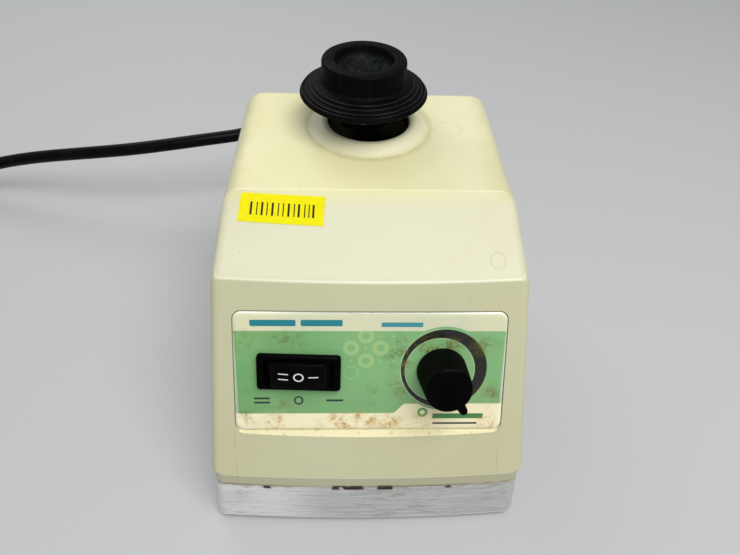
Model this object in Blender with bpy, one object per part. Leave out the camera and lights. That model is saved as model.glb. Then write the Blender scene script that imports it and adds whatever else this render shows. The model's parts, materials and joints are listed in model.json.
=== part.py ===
"""Vortex mixer for a laboratory bench: a cast base, a moulded housing with a leaning control
face, and a rubber cup that a shaded-pole motor swings in a small circle.

Metres, +Z up. The control face looks towards -Y. The origin is on the bench, at the middle of
the box round the mixer without its mains cord.
"""
import math

import bmesh
import bpy
from mathutils import Matrix, Vector

MM = 0.001
GAP = 0.3 * MM

# ---------------------------------------------------------------- driving dimensions
DEPTH = 170.6 * MM  # front of the base to the tip of the fuse cap
FRONT = -DEPTH / 2
BASE_BOTTOM = 2.4 * MM
BASE_TOP = 26.7 * MM
BASE_HALF_BOTTOM = 64.6 * MM
BASE_HALF_TOP = 62.3 * MM
BASE_CORNER = 4.0 * MM
BASE_FOOT_ROUND = 1.6 * MM
BASE_REAR_LEDGE = 1.2 * MM  # how far its foot stands out behind the housing
BOW = 2.3 * MM  # how far the front stands forward in its middle

LIP_Y = FRONT + 2.9 * MM
LIP_Z = 35.0 * MM  # top of the upright band round the housing's foot
FOLD_LOW = (LIP_Y + 37.2 * MM, 108.2 * MM)
FOLD_HIGH = (LIP_Y + 74.0 * MM, 121.0 * MM)
TOP_Z = FOLD_HIGH[1]
BACK_TOP_Y = LIP_Y + 152.4 * MM
BACK_FOOT_Y = LIP_Y + 157.4 * MM
HALF_LIP = 62.3 * MM
HALF_TOP = 56.4 * MM
WALL = 2.6 * MM
EDGE_ROUND = 7.0 * MM  # at the top and the back; the front edges are sharper

LABEL_LOW = 20.7 * MM  # up the control face from the lip
LABEL_HIGH = 70.2 * MM
LABEL_HALF_LOW = 51.5 * MM
LABEL_HALF_HIGH = 50.3 * MM
LABEL_CORNER = 3.6 * MM
RECESS = 1.2 * MM
LABEL_SET = BOW * (LABEL_HALF_LOW / HALF_LIP) ** 2  # the flat label lies this far behind the bow
SWITCH_X = -26.4 * MM
KNOB_X = 26.6 * MM
CONTROL_V = 47.2 * MM  # height of the switch and the knob up the control face

AXIS_Y = LIP_Y + 121.3 * MM
HOLE_RADIUS = 17.5 * MM
COLLAR_RADIUS = 26.3 * MM
COLLAR_HEIGHT = 3.2 * MM
THROW = 2.4 * MM  # distance from the drive shaft to the cup's pin

CUP_RADIUS = 17.4 * MM
FLANGE_RADIUS = 26.7 * MM
HUB_RADIUS = 10.7 * MM
CUP_TOP = TOP_Z + 30.0 * MM
FLANGE_Z = TOP_Z + 15.6 * MM
HUB_Z = TOP_Z + 2.65 * MM

BOARD_LOW = 36.0 * MM
BOARD_HIGH = 37.6 * MM
BOARD_FRONT = LIP_Y + 12.0 * MM
BOARD_BACK = LIP_Y + 46.0 * MM
BOARD_HALF = 33.0 * MM
STANDOFF_INSET = 4.0 * MM  # from the board's corners

SNAP_HIGH = 40.0 * MM  # top of the touch switch's body
SNAP_FRONT = LIP_Y + 49.0 * MM
LEVER_Y = LIP_Y + 52.0 * MM
LEVER_Z = 40.9 * MM
LEVER_REACH = 25.0 * MM
LEVER_RISE = 2.6 * MM

PLATE_BOTTOM = 44.0 * MM
PLATE_THICK = 2.5 * MM
POST_X = 37.0 * MM
POST_FRONT = LIP_Y + 80.0 * MM
POST_BACK = LIP_Y + 141.0 * MM
SPRING_RADIUS = 5.0 * MM
SPRING_WIRE = 0.6 * MM
STACK_LOW = 64.0 * MM
STACK_HIGH = 86.0 * MM
ROTOR_RADIUS = 16.0 * MM
SHAFT_RADIUS = 3.0 * MM
BEARING_RADIUS = 7.9 * MM
PIN_RADIUS = 2.5 * MM
BOLT_X = 23.5 * MM
BOLT_RADIUS = 1.9 * MM

SCREW_X = 55.3 * MM
SCREW_FRONT = LIP_Y + 16.0 * MM
SCREW_BACK = LIP_Y + 141.5 * MM
FOOT_X = 43.0 * MM
FOOT_FRONT = LIP_Y + 32.0 * MM
FOOT_BACK = LIP_Y + 124.0 * MM

CORD_RADIUS = 3.9 * MM
GLAND_X = -30.0 * MM
GLAND_Z = 50.0 * MM
GLAND_LENGTH = 40.0 * MM
ROUTE_SPACING = 10.0 * MM
FUSE_X = 42.0 * MM
FUSE_Z = 63.0 * MM
COIL_CENTRE = (-335.0 * MM, LIP_Y + 182.0 * MM)
COIL_RADIUS = 43.0 * MM  # at the middle of the turns
COIL_BAND = (17.2 * MM, 23.6 * MM)  # width and height of the bundle of turns
PLUG_RADIUS = 18.5 * MM

KNOB_REST = math.radians(-57)  # where the pointer stands, from the +X side of the dial

# ---------------------------------------------------------------- scene and materials
for old in list(bpy.data.objects):
    bpy.data.objects.remove(old, do_unlink=True)


def material(name, colour, roughness, metallic=0.0):
    made = bpy.data.materials.new(name)
    made.use_nodes = True
    shader = made.node_tree.nodes["Principled BSDF"]
    shader.inputs["Base Color"].default_value = (*colour, 1.0)
    shader.inputs["Roughness"].default_value = roughness
    shader.inputs["Metallic"].default_value = metallic
    return made


CREAM = material("cream_abs", (0.72, 0.68, 0.48), 0.42)
PAINT = material("grey_paint", (0.55, 0.56, 0.56), 0.38)
GREEN = material("green_label", (0.17, 0.42, 0.18), 0.25)
BLACK = material("black_plastic", (0.012, 0.012, 0.013), 0.3)
RUBBER = material("black_rubber", (0.02, 0.02, 0.021), 0.55)
PVC = material("black_pvc", (0.012, 0.012, 0.013), 0.28)
STEEL = material("steel", (0.55, 0.55, 0.56), 0.3, 1.0)
IRON = material("lamination_iron", (0.3, 0.29, 0.28), 0.5, 0.9)
ALUMINIUM = material("aluminium", (0.7, 0.7, 0.71), 0.35, 1.0)
COPPER = material("copper_winding", (0.6, 0.24, 0.1), 0.35, 0.9)
BRASS = material("brass", (0.75, 0.55, 0.25), 0.3, 1.0)
BOARD = material("circuit_board", (0.04, 0.2, 0.08), 0.5)
GLASS = material("fuse_glass", (0.8, 0.85, 0.85), 0.08)
FILM = material("capacitor_film", (0.55, 0.1, 0.04), 0.4)


# ---------------------------------------------------------------- shape helpers
def add_object(name, mesh, finish, frame=None, parent=None):
    """Put a mesh in the scene. frame is its place in its parent, or in the world."""
    made = bpy.data.objects.new(name, mesh)
    bpy.context.collection.objects.link(made)
    if finish:
        mesh.materials.append(finish)
    made.parent = parent
    made.matrix_local = frame or Matrix.Identity(4)
    return made


def finish_mesh(work, name, smooth_angle=35):
    """Turn a bmesh into a mesh with outward faces, round parts shaded smooth."""
    bmesh.ops.recalc_face_normals(work, faces=work.faces)
    mesh = bpy.data.meshes.new(name)
    work.to_mesh(mesh)
    work.free()
    mesh.shade_smooth()
    mesh.set_sharp_from_angle(angle=math.radians(smooth_angle))
    return mesh


def loft(name, loops):
    """Skin a row of equal loops and cap both ends."""
    work = bmesh.new()
    rings = [[work.verts.new(point) for point in loop] for loop in loops]
    work.faces.new(rings[0])
    work.faces.new(reversed(rings[-1]))
    for low, high in zip(rings, rings[1:]):
        for a, b, c, d in zip(low, high, high[1:] + high[:1], low[1:] + low[:1]):
            work.faces.new((a, b, c, d))
    return finish_mesh(work, name)


def turned(name, outline, segments=32):
    """Turn a closed outline of (radius, z) round the Z axis."""
    work = bmesh.new()
    rings = []
    for radius, z in outline:
        if radius < 1e-9:
            rings.append([work.verts.new((0, 0, z))])
            continue
        turn = [2 * math.pi * k / segments for k in range(segments)]
        rings.append([work.verts.new((radius * math.cos(a), radius * math.sin(a), z)) for a in turn])
    for here, there in zip(rings, rings[1:] + rings[:1]):
        for k in range(segments):
            corners = [here[k % len(here)], here[(k + 1) % len(here)]]
            corners += [there[(k + 1) % len(there)], there[k % len(there)]]
            corners = list(dict.fromkeys(corners))
            if len(corners) > 2:
                work.faces.new(corners)
    return finish_mesh(work, name)


def rod(name, radius, low, high, segments=24):
    """A plain round bar along Z."""
    return turned(name, [(0, low), (radius, low), (radius, high), (0, high)], segments)


def ring(name, inner, outer, low, high, segments=24):
    """A plain round bush along Z."""
    return turned(name, [(inner, low), (outer, low), (outer, high), (inner, high)], segments)


def prism(name, outline, low, high):
    """Push a flat outline of (x, y) up from low to high."""
    return loft(name, [[(x, y, z) for x, y in outline] for z in (low, high)])


def box(name, low, high):
    """A box from its lowest corner to its highest."""
    (x0, y0, z0), (x1, y1, z1) = low, high
    return prism(name, [(x0, y0), (x1, y0), (x1, y1), (x0, y1)], z0, z1)


def arc(centre, radius, start, end, steps):
    """Points along an arc, angles in degrees."""
    angles = [math.radians(start + (end - start) * k / steps) for k in range(steps + 1)]
    return [(centre[0] + radius * math.cos(a), centre[1] + radius * math.sin(a)) for a in angles]


def rounded_box(half_x, half_y, radius, steps=3):
    """Outline of a rectangle with round corners, centred on the origin."""
    outline = []
    for sign_x, sign_y, start in ((1, 1, 0), (-1, 1, 90), (-1, -1, 180), (1, -1, 270)):
        centre = (sign_x * (half_x - radius), sign_y * (half_y - radius))
        outline += arc(centre, radius, start, start + 90, steps)
    return outline


def boolean(target, tool, operation="DIFFERENCE"):
    """Combine with a hidden tool, which takes the target's frame if it has none of its own."""
    tool.hide_render = True
    tool.display_type = "WIRE"
    step = target.modifiers.new(tool.name, "BOOLEAN")
    step.operation = operation
    step.object = tool


def cut(target, mesh, frame=None, parent=None):
    boolean(target, add_object("cutter_" + mesh.name, mesh, None, frame, parent))


def join(target, mesh, frame=None, parent=None):
    boolean(target, add_object("guide_" + mesh.name, mesh, None, frame, parent), "UNION")


def at(x=0.0, y=0.0, z=0.0):
    return Matrix.Translation((x, y, z))


def empty(name, frame, parent=None):
    made = bpy.data.objects.new(name, None)
    bpy.context.collection.objects.link(made)
    made.parent = parent
    made.matrix_local = frame
    return made


# ---------------------------------------------------------------- the housing's planes
def half_width(z):
    """Half the housing's width at a height: its sides lean in above the lip."""
    share = max(0.0, (z - LIP_Z) / (TOP_Z - LIP_Z))
    return HALF_LIP + (HALF_TOP - HALF_LIP) * share


FACE_UP = Vector((0, FOLD_LOW[0] - LIP_Y, FOLD_LOW[1] - LIP_Z)).normalized()
FACE_OUT = Vector((0, -FACE_UP.z, FACE_UP.y))
REAR_UP = Vector((0, BACK_TOP_Y - BACK_FOOT_Y, TOP_Z - LIP_Z)).normalized()
REAR_OUT = Vector((0, REAR_UP.z, -REAR_UP.y))


def face_point(x, v, out=0.0):
    """A point on the bowed control face: x across, v up from the lip, out along its normal."""
    half = half_width(LIP_Z + v * FACE_UP.z)
    return Vector((x, LIP_Y + BOW * (x / half) ** 2, LIP_Z)) + FACE_UP * v + FACE_OUT * out


def label_point(x, v, out=0.0):
    """A point on the flat plane that the label lies in, which meets the face at its ends."""
    return Vector((x, LIP_Y + LABEL_SET, LIP_Z)) + FACE_UP * v + FACE_OUT * out


def face_frame(x, v):
    """The frame of a control: X across the face, Y up it, Z outward."""
    step = 0.1 * MM
    across = (face_point(x + step, v) - face_point(x - step, v)).normalized()
    out = across.cross(FACE_UP).normalized()
    up = out.cross(across)
    frame = Matrix((across, up, out)).transposed().to_4x4()
    return Matrix.Translation(face_point(x, v)) @ frame


def rear_frame(x, z):
    """The frame of a rear fitting: Z outward, X towards -X, Y up the rear wall."""
    frame = Matrix((Vector((-1, 0, 0)), REAR_UP, REAR_OUT)).transposed().to_4x4()
    y = BACK_FOOT_Y + (z - LIP_Z) * REAR_UP.y / REAR_UP.z
    return at(x, y, z) @ frame


# ---------------------------------------------------------------- base and feet
def base_loop(z, inset):
    """One level of the base: a rectangle with round corners and a bowed front."""
    share = (z - BASE_BOTTOM) / (BASE_TOP - BASE_BOTTOM)
    half = BASE_HALF_BOTTOM + (BASE_HALF_TOP - BASE_HALF_BOTTOM) * share - inset
    front = FRONT + (LIP_Y - FRONT) * share + inset
    back = BACK_FOOT_Y + BASE_REAR_LEDGE * (1 - share) - inset
    corner = BASE_CORNER - inset
    side = half - corner
    rear = arc((side, back - corner), corner, 0, 90, 3)
    rear += arc((-side, back - corner), corner, 90, 180, 3)
    ahead = arc((-side, front + corner), corner, 180, 270, 3)
    ahead += [(side * (k / 5 - 1), front) for k in range(1, 10)]
    ahead += arc((side, front + corner), corner, 270, 360, 3)
    return [(x, y, z) for x, y in rear + [(x, y + BOW * (x / half) ** 2) for x, y in ahead]]


def base_plate():
    foot = arc((BASE_FOOT_ROUND, BASE_BOTTOM + BASE_FOOT_ROUND), BASE_FOOT_ROUND, 270, 180, 3)
    levels = [(z, inset) for inset, z in foot]
    levels += [(BASE_TOP - 0.8 * MM, 0.0), (BASE_TOP, 0.8 * MM)]
    made = add_object("base_plate", loft("base_plate", [base_loop(z, i) for z, i in levels]), PAINT)
    for x in (-POST_X, POST_X):
        for y in (POST_FRONT, POST_BACK):
            hole = rod("post_hole", 2.8 * MM, BASE_TOP - 7.0 * MM, BASE_TOP + 1 * MM, 12)
            cut(made, hole, at(x, y))
    for x in (-SCREW_X, SCREW_X):
        for y in (SCREW_FRONT, SCREW_BACK):
            wide, narrow = 4.2 * MM, 2.2 * MM
            bottom, step, top = BASE_BOTTOM - 1 * MM, BASE_BOTTOM + 9 * MM, BASE_TOP + 1 * MM
            outline = [(0, bottom), (wide, bottom), (wide, step), (narrow, step), (narrow, top), (0, top)]
            cut(made, turned("screw_hole", outline, 16), at(x, y))
    for x in (-FOOT_X, FOOT_X):
        for y in (FOOT_FRONT, FOOT_BACK):
            socket = rod("foot_socket", 9.4 * MM, BASE_BOTTOM - 1 * MM, BASE_BOTTOM + 2.8 * MM, 20)
            cut(made, socket, at(x, y))
    across = BOARD_HALF - STANDOFF_INSET
    for x in (-across, across):
        for y in (BOARD_FRONT + STANDOFF_INSET, BOARD_BACK - STANDOFF_INSET):
            post = rod("standoff", 2.6 * MM, BASE_TOP - 2 * MM, BOARD_LOW - GAP, 12)
            join(made, post, at(x, y))
    return made


def feet():
    places = {"front": FOOT_FRONT, "rear": FOOT_BACK}
    for row, y in places.items():
        for side, x in (("left", -FOOT_X), ("right", FOOT_X)):
            name = f"foot_{row}_{side}"
            top = BASE_BOTTOM + 2.5 * MM
            outline = [(0, 0), (7.6 * MM, 0), (8.4 * MM, 1.0 * MM), (9.0 * MM, top), (0, top)]
            add_object(name, turned(name, outline, 20), RUBBER, at(x, y))


def housing_screws():
    for row, y in (("front", SCREW_FRONT), ("rear", SCREW_BACK)):
        for side, x in (("left", -SCREW_X), ("right", SCREW_X)):
            name = f"housing_screw_{row}_{side}"
            head = BASE_BOTTOM + 9 * MM - GAP
            low = head - 3 * MM
            outline = [(0, low + 1.2 * MM), (1.2 * MM, low + 1.2 * MM), (1.2 * MM, low)]
            outline += [(3.8 * MM, low), (3.8 * MM, head), (1.6 * MM, head)]
            outline += [(1.6 * MM, 42 * MM), (0, 43 * MM)]
            add_object(name, turned(name, outline, 16), STEEL, at(x, y))


# ---------------------------------------------------------------- housing and label
def inset_outline(points, distance):
    """Move each side of a convex outline inward by a distance."""
    lines = []
    for (y0, z0), (y1, z1) in zip(points, points[1:] + points[:1]):
        along = Vector((y1 - y0, z1 - z0)).normalized()
        inward = Vector((along.y, -along.x))
        lines.append((Vector((y0, z0)) + inward * distance, along))
    moved = []
    for (spot, along), (before, lead) in zip(lines, lines[-1:] + lines[:-1]):
        cross = along.x * lead.y - along.y * lead.x
        gap = before - spot
        moved.append(spot + along * ((gap.x * lead.y - gap.y * lead.x) / cross))
    return [(point.x, point.y) for point in moved]


def housing_hull(name, inset, foot_z, fold=1.0):
    """The housing's outer shape, or the same shape inset to hollow it.

    The side outline goes up the front and down the back. Each of its corners becomes a row of
    points across the housing, and the rows of the front stand forward in their middle. With
    fold 0 the front is flat, and the edges between the walls stay sharp, except the round ones
    at the sides and top.
    """
    corners = [(LIP_Y, foot_z), (LIP_Y, LIP_Z), FOLD_LOW, FOLD_HIGH]
    corners += [(BACK_TOP_Y, TOP_Z), (BACK_FOOT_Y, LIP_Z), (BACK_FOOT_Y, foot_z)]
    bows = [BOW, BOW, BOW, 0.8 * MM, 0, 0, 0]
    folds = [0, 0.12 * fold, 0.12 * fold, 0.16 * fold, 0.7, 0.12 * fold, 0]
    sides = [0.7, 0.45, 0.6, 1.0, 1.0, 1.0]
    across = 8
    work = bmesh.new()
    rows = []
    for (y, z), bow in zip(inset_outline(corners, inset), bows):
        half = half_width(z) - inset
        row = []
        for k in range(across + 1):
            share = 2 * k / across - 1
            back = bow * (1 - fold * (1 - share**2))
            row.append(work.verts.new((half * share, y + back, z)))
        rows.append(row)
    for here, there in zip(rows, rows[1:] + rows[:1]):
        for k in range(across):
            work.faces.new((here[k], here[k + 1], there[k + 1], there[k]))
    lip, back = 1, 5
    for k in (0, across):
        side = [row[k] for row in rows]
        work.faces.new([side[0], side[lip], side[back], side[6]])
        work.faces.new(side[lip : back + 1])
    weight = work.edges.layers.float.new("bevel_weight_edge")
    for row, rounding in zip(rows, folds):
        for a, b in zip(row, row[1:]):
            work.edges.get((a, b))[weight] = rounding
    for k in (0, across):
        for here, there, rounding in zip(rows, rows[1:], sides):
            work.edges.get((here[k], there[k]))[weight] = rounding
        work.edges.get((rows[lip][k], rows[back][k]))[weight] = 0.12 * fold
    return finish_mesh(work, name, 25)


def round_hull(made, inset, segments):
    bevel = made.modifiers.new("rounding", "BEVEL")
    bevel.limit_method = "WEIGHT"
    bevel.width = EDGE_ROUND - inset
    bevel.segments = segments


def face_patch(name, half_low, half_high, low, high, corner, inner, outer):
    """A flat plate on the control face, with round corners and sides that lean in."""
    shares = [math.sin(math.pi / 2 * k / 4) for k in range(5)]
    edge = [1 - (1 - share) * corner / half_low for share in shares]
    columns = [-x for x in reversed(edge)]
    columns += edge
    loops = []
    for share in columns:
        past = max(0.0, (abs(share) - edge[0]) * half_low / corner)
        drop = corner * (1 - math.sqrt(max(0.0, 1 - min(1.0, past) ** 2)))
        loop = []
        foot, head = low + drop, high - drop
        for v, out in ((foot, inner), (head, inner), (head, outer), (foot, outer)):
            half = half_low + (half_high - half_low) * (v - low) / (high - low)
            loop.append(label_point(share * half, v, out))
        loops.append(loop)
    return loft(name, loops)


def control_openings(made, grow, hole_radius):
    """Cut the switch's slot and the potentiometer's hole."""
    slot = rounded_box(13.6 * MM + grow, 5.9 * MM + grow, 0.8 * MM, 2)
    cut(made, prism("switch_slot", slot, -9 * MM, 6 * MM), face_frame(SWITCH_X, CONTROL_V))
    hole = rod("shaft_hole", hole_radius, -9 * MM, 6 * MM)
    cut(made, hole, face_frame(KNOB_X, CONTROL_V))


def housing():
    made = add_object("housing", housing_hull("housing", 0, BASE_TOP + GAP), CREAM)
    round_hull(made, 0, 4)
    hollow = add_object("cutter_hollow", housing_hull("hollow", WALL, BASE_TOP - 6 * MM, 0), None)
    round_hull(hollow, WALL, 2)
    boolean(made, hollow)
    sunk = TOP_Z - 1.5 * MM
    collar = [(0, sunk), (COLLAR_RADIUS, sunk), (COLLAR_RADIUS, TOP_Z + 0.1 * MM)]
    rim = HOLE_RADIUS + 2.4 * MM
    collar += [(rim + 0.8 * MM, TOP_Z + COLLAR_HEIGHT - 0.3 * MM), (rim, TOP_Z + COLLAR_HEIGHT)]
    collar += [(0, TOP_Z + COLLAR_HEIGHT)]
    join(made, turned("collar", collar, 40), at(0, AXIS_Y))
    for x in (-SCREW_X, SCREW_X):
        for y in (SCREW_FRONT, SCREW_BACK):
            join(made, rod("boss", 4.6 * MM, BASE_TOP + GAP, 50 * MM, 12), at(x, y))
            cut(made, rod("boss_hole", 1.9 * MM, BASE_TOP - 2 * MM, 44.5 * MM, 12), at(x, y))
    low, high = TOP_Z - 6 * MM, TOP_Z + COLLAR_HEIGHT + 1 * MM
    mouth = [(0, low), (HOLE_RADIUS, low), (HOLE_RADIUS, high - 2 * MM)]
    mouth += [(HOLE_RADIUS + 1.2 * MM, high - 0.8 * MM), (HOLE_RADIUS + 1.2 * MM, high), (0, high)]
    cut(made, turned("mouth", mouth, 40), at(0, AXIS_Y))
    low, high = LABEL_LOW, LABEL_HIGH
    halves = (LABEL_HALF_LOW, LABEL_HALF_HIGH)
    cut(made, face_patch("label_recess", *halves, low, high, LABEL_CORNER, -RECESS, 4 * MM))
    control_openings(made, 0, 4.2 * MM)
    cut(made, rod("gland_hole", 6.3 * MM, -8 * MM, 4 * MM, 20), rear_frame(GLAND_X, GLAND_Z))
    cut(made, rod("fuse_hole", 7.8 * MM, -8 * MM, 4 * MM, 20), rear_frame(FUSE_X, FUSE_Z))
    return made


def panel_label():
    low, high = LABEL_LOW + GAP, LABEL_HIGH - GAP
    halves = (LABEL_HALF_LOW - GAP, LABEL_HALF_HIGH - GAP)
    corner = LABEL_CORNER - GAP
    mesh = face_patch("panel_label", *halves, low, high, corner, GAP - RECESS, 0.2 * MM)
    made = add_object("panel_label", mesh, GREEN)
    control_openings(made, 0.4 * MM, 6.4 * MM)


# ---------------------------------------------------------------- switch and speed knob
def power_switch():
    frame = face_frame(SWITCH_X, CONTROL_V)
    flange = (0.0, 2.4 * MM)
    loops = []
    for half_x, half_y, corner, z in (
        (13.3 * MM, 5.6 * MM, 0.6 * MM, -20 * MM),
        (13.3 * MM, 5.6 * MM, 0.6 * MM, flange[0]),
        (15.5 * MM, 7.05 * MM, 1.4 * MM, flange[0]),
        (15.5 * MM, 7.05 * MM, 1.4 * MM, flange[1] - 0.5 * MM),
        (15.0 * MM, 6.55 * MM, 1.2 * MM, flange[1]),
    ):
        loops.append([(x, y, z) for x, y in rounded_box(half_x, half_y, corner)])
    made = add_object("switch_body", loft("switch_body", loops), BLACK, frame)
    pocket = rounded_box(12.7 * MM, 5.1 * MM, 0.4 * MM, 2)
    cut(made, prism("rocker_pocket", pocket, -8 * MM, 6 * MM), frame)

    axis = empty("rocker_axis", frame @ at(z=-1.2 * MM))
    end, height, foot = 12.2 * MM, 5.4 * MM, 10.2 * MM
    outline = [(-end, 2.1 * MM), (-foot, -1.8 * MM), (-3 * MM, -4.3 * MM), (3 * MM, -4.3 * MM)]
    outline += [(foot, -1.8 * MM), (end, 2.1 * MM)]
    crown = 9.7 * MM
    for k in range(9):
        share = 1 - 2 * k / 8
        outline.append((crown * share, height + 1.0 * MM * (1 - share**2)))
    loops = []
    for side in (-4.8, -4.5, 4.5, 4.8):
        shrink = 1.0 if abs(side) < 4.6 else 0.965
        loops.append([(x * shrink, side * MM, z * shrink) for x, z in outline])
    add_object("rocker", loft("rocker", loops), BLACK, parent=axis)


def speed_control():
    frame = face_frame(KNOB_X, CONTROL_V)
    wall_in = -WALL - BOW * (1 - (KNOB_X / HALF_LIP) ** 2) - GAP
    bore = SHAFT_RADIUS + GAP
    pot = [(0, -14 * MM), (8.0 * MM, -14 * MM), (8.0 * MM, wall_in), (3.9 * MM, wall_in)]
    pot += [(3.9 * MM, 2.0 * MM), (bore, 2.0 * MM), (bore, -6.3 * MM), (0, -6.3 * MM)]
    add_object("potentiometer", turned("potentiometer", pot, 24), ALUMINIUM, frame)
    hexagon = arc((0, 0), 6.0 * MM, 0, 300, 5)
    mesh = prism("potentiometer_nut", hexagon, -1.9 * MM, 0.6 * MM)
    nut = add_object("potentiometer_nut", mesh, STEEL, frame)
    cut(nut, rod("nut_bore", 4.2 * MM, -3 * MM, 2 * MM), frame)

    axis = empty("knob_axis", frame)
    shaft = rod("potentiometer_shaft", SHAFT_RADIUS, -6 * MM, 11.7 * MM)
    add_object("potentiometer_shaft", shaft, BRASS, parent=axis)
    wide, narrow, top = 9.4 * MM, 8.5 * MM, 15.4 * MM
    knob = [(0, 12 * MM), (bore, 12 * MM), (bore, 4.4 * MM), (7.0 * MM, 4.4 * MM), (7.0 * MM, 0)]
    knob += [(wide, 0), (narrow, top - 0.8 * MM), (narrow - 0.8 * MM, top), (0, top + 0.2 * MM)]
    made = add_object("speed_knob", turned("speed_knob", knob, 40), BLACK, parent=axis)
    root, tip = 6 * MM, 11.2 * MM
    outline = [(root, -1.7 * MM), (tip, -1.3 * MM), (tip, 1.3 * MM), (root, 1.7 * MM)]
    tab = prism("pointer", outline, 9.5 * MM, top - 0.4 * MM)
    join(made, tab, Matrix.Rotation(KNOB_REST, 4, "Z"), axis)


# ---------------------------------------------------------------- motor on its sprung plate
def motor_suspension():
    low, high = BASE_TOP + GAP, PLATE_BOTTOM - GAP
    turns, steps = 4, 9
    for row, y in (("front", POST_FRONT), ("rear", POST_BACK)):
        for side, x in (("left", -POST_X), ("right", POST_X)):
            name = f"guide_post_{row}_{side}"
            head = PLATE_BOTTOM + PLATE_THICK + GAP
            outline = [(0, BASE_TOP - 6.7 * MM), (2.5 * MM, BASE_TOP - 6.7 * MM), (2.5 * MM, head)]
            outline += [(5.0 * MM, head), (5.0 * MM, head + 2 * MM), (0, head + 2 * MM)]
            add_object(name, turned(name, outline, 20), STEEL, at(x, y))
            name = f"motor_spring_{row}_{side}"
            curve = bpy.data.curves.new(name, "CURVE")
            curve.dimensions = "3D"
            curve.bevel_depth = SPRING_WIRE
            curve.bevel_resolution = 1
            curve.use_fill_caps = True
            wire = curve.splines.new("POLY")
            wire.points.add(turns * steps)
            rise = high - low - 2 * SPRING_WIRE
            for k, point in enumerate(wire.points):
                angle = 2 * math.pi * k / steps
                z = low + SPRING_WIRE + rise * k / (turns * steps)
                point.co = (SPRING_RADIUS * math.cos(angle), SPRING_RADIUS * math.sin(angle), z, 1)
            add_object(name, curve, STEEL, at(x, y))


def motor_plate(press):
    low, high = PLATE_BOTTOM, PLATE_BOTTOM + PLATE_THICK
    front, back = LIP_Y + 71 * MM - AXIS_Y, LIP_Y + 147 * MM - AXIS_Y
    middle = (front + back) / 2
    outline = [(x, y + middle) for x, y in rounded_box(44 * MM, (back - front) / 2, 5 * MM)]
    made = add_object("motor_plate", prism("motor_plate", outline, low, high), STEEL, parent=press)
    hole = (low - 1 * MM, high + 1 * MM)
    cut(made, rod("plate_mouth", 12 * MM, *hole, 20), None, press)
    for x in (-POST_X, POST_X):
        for y in (POST_FRONT - AXIS_Y, POST_BACK - AXIS_Y):
            cut(made, rod("plate_slide", 3.0 * MM, *hole, 14), at(x, y), press)
    for x in (-BOLT_X, BOLT_X):
        cut(made, rod("plate_bolt", BOLT_RADIUS + GAP, *hole, 12), at(x), press)


def bracket(name, press, leg_low, leg_high, bridge, boss, bore, lip):
    """A motor end frame: two legs beside the shaft, a bridge and a bearing boss."""
    outer, inner = 28 * MM, 19.6 * MM
    span = box(name, (-outer, -9 * MM, bridge[0]), (outer, 9 * MM, bridge[1]))
    made = add_object(name, span, ALUMINIUM, parent=press)
    for side in (-1, 1):
        low_x, high_x = sorted((side * outer, side * inner))
        leg = box(name + "_leg", (low_x, -9 * MM, leg_low), (high_x, 9 * MM, leg_high))
        join(made, leg, None, press)
        hole = rod(name + "_bolt", BOLT_RADIUS + GAP, leg_low - 1 * MM, leg_high + 1 * MM, 12)
        cut(made, hole, at(side * BOLT_X), press)
    join(made, rod(name + "_boss", 10.4 * MM, *boss), None, press)
    cut(made, rod(name + "_bore", BEARING_RADIUS + GAP, *bore), None, press)
    cut(made, rod(name + "_lip", 5 * MM, *lip), None, press)


def motor(press):
    bracket("lower_bracket", press, 46.8 * MM, STACK_LOW - GAP, (53 * MM, 57 * MM),
            (51.5 * MM, 58.5 * MM), (53 * MM, 60 * MM), (50 * MM, 54 * MM))
    bracket("upper_bracket", press, STACK_HIGH + GAP, 96.5 * MM, (93 * MM, 96.5 * MM),
            (91.8 * MM, 98.6 * MM), (90 * MM, 97 * MM), (96 * MM, 100 * MM))
    for name, low in (("lower_bearing", 53.3 * MM), ("upper_bearing", 92.0 * MM)):
        mesh = ring(name, SHAFT_RADIUS + GAP, BEARING_RADIUS, low, low + 4.7 * MM)
        add_object(name, mesh, STEEL, parent=press)

    front, back = LIP_Y + 82 * MM - AXIS_Y, LIP_Y + 147 * MM - AXIS_Y
    leg, window = front + 7 * MM, front + 16.4 * MM
    stack = box("stator_core", (-28 * MM, front, STACK_LOW), (28 * MM, back, STACK_HIGH))
    made = add_object("stator_core", stack, IRON, parent=press)
    through = (STACK_LOW - 1 * MM, STACK_HIGH + 1 * MM)
    cut(made, rod("stator_bore", ROTOR_RADIUS + 0.5 * MM, *through, 40), None, press)
    opening = box("stator_window", (-15 * MM, leg, through[0]), (15 * MM, window, through[1]))
    cut(made, opening, None, press)
    for x in (-BOLT_X, BOLT_X):
        cut(made, rod("stator_bolt", BOLT_RADIUS + GAP, *through, 12), at(x), press)

    wrap = 7.5 * MM
    low = (-14 * MM, front - wrap, STACK_LOW - wrap)
    block = box("field_coil", low, (14 * MM, leg + wrap + GAP, STACK_HIGH + wrap))
    coil = add_object("field_coil", block, COPPER, parent=press)
    low = (-20 * MM, front - GAP, STACK_LOW - GAP)
    passage = box("coil_passage", low, (20 * MM, leg + GAP, STACK_HIGH + GAP))
    cut(coil, passage, None, press)

    for side, x in (("left", -BOLT_X), ("right", BOLT_X)):
        name = f"motor_bolt_{side}"
        outline = [(0, 41.5 * MM), (BOLT_RADIUS, 41.5 * MM), (BOLT_RADIUS, 96.8 * MM)]
        outline += [(3.4 * MM, 96.8 * MM), (3.4 * MM, 99.6 * MM), (0, 99.6 * MM)]
        add_object(name, turned(name, outline, 16), STEEL, at(x), press)


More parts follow.
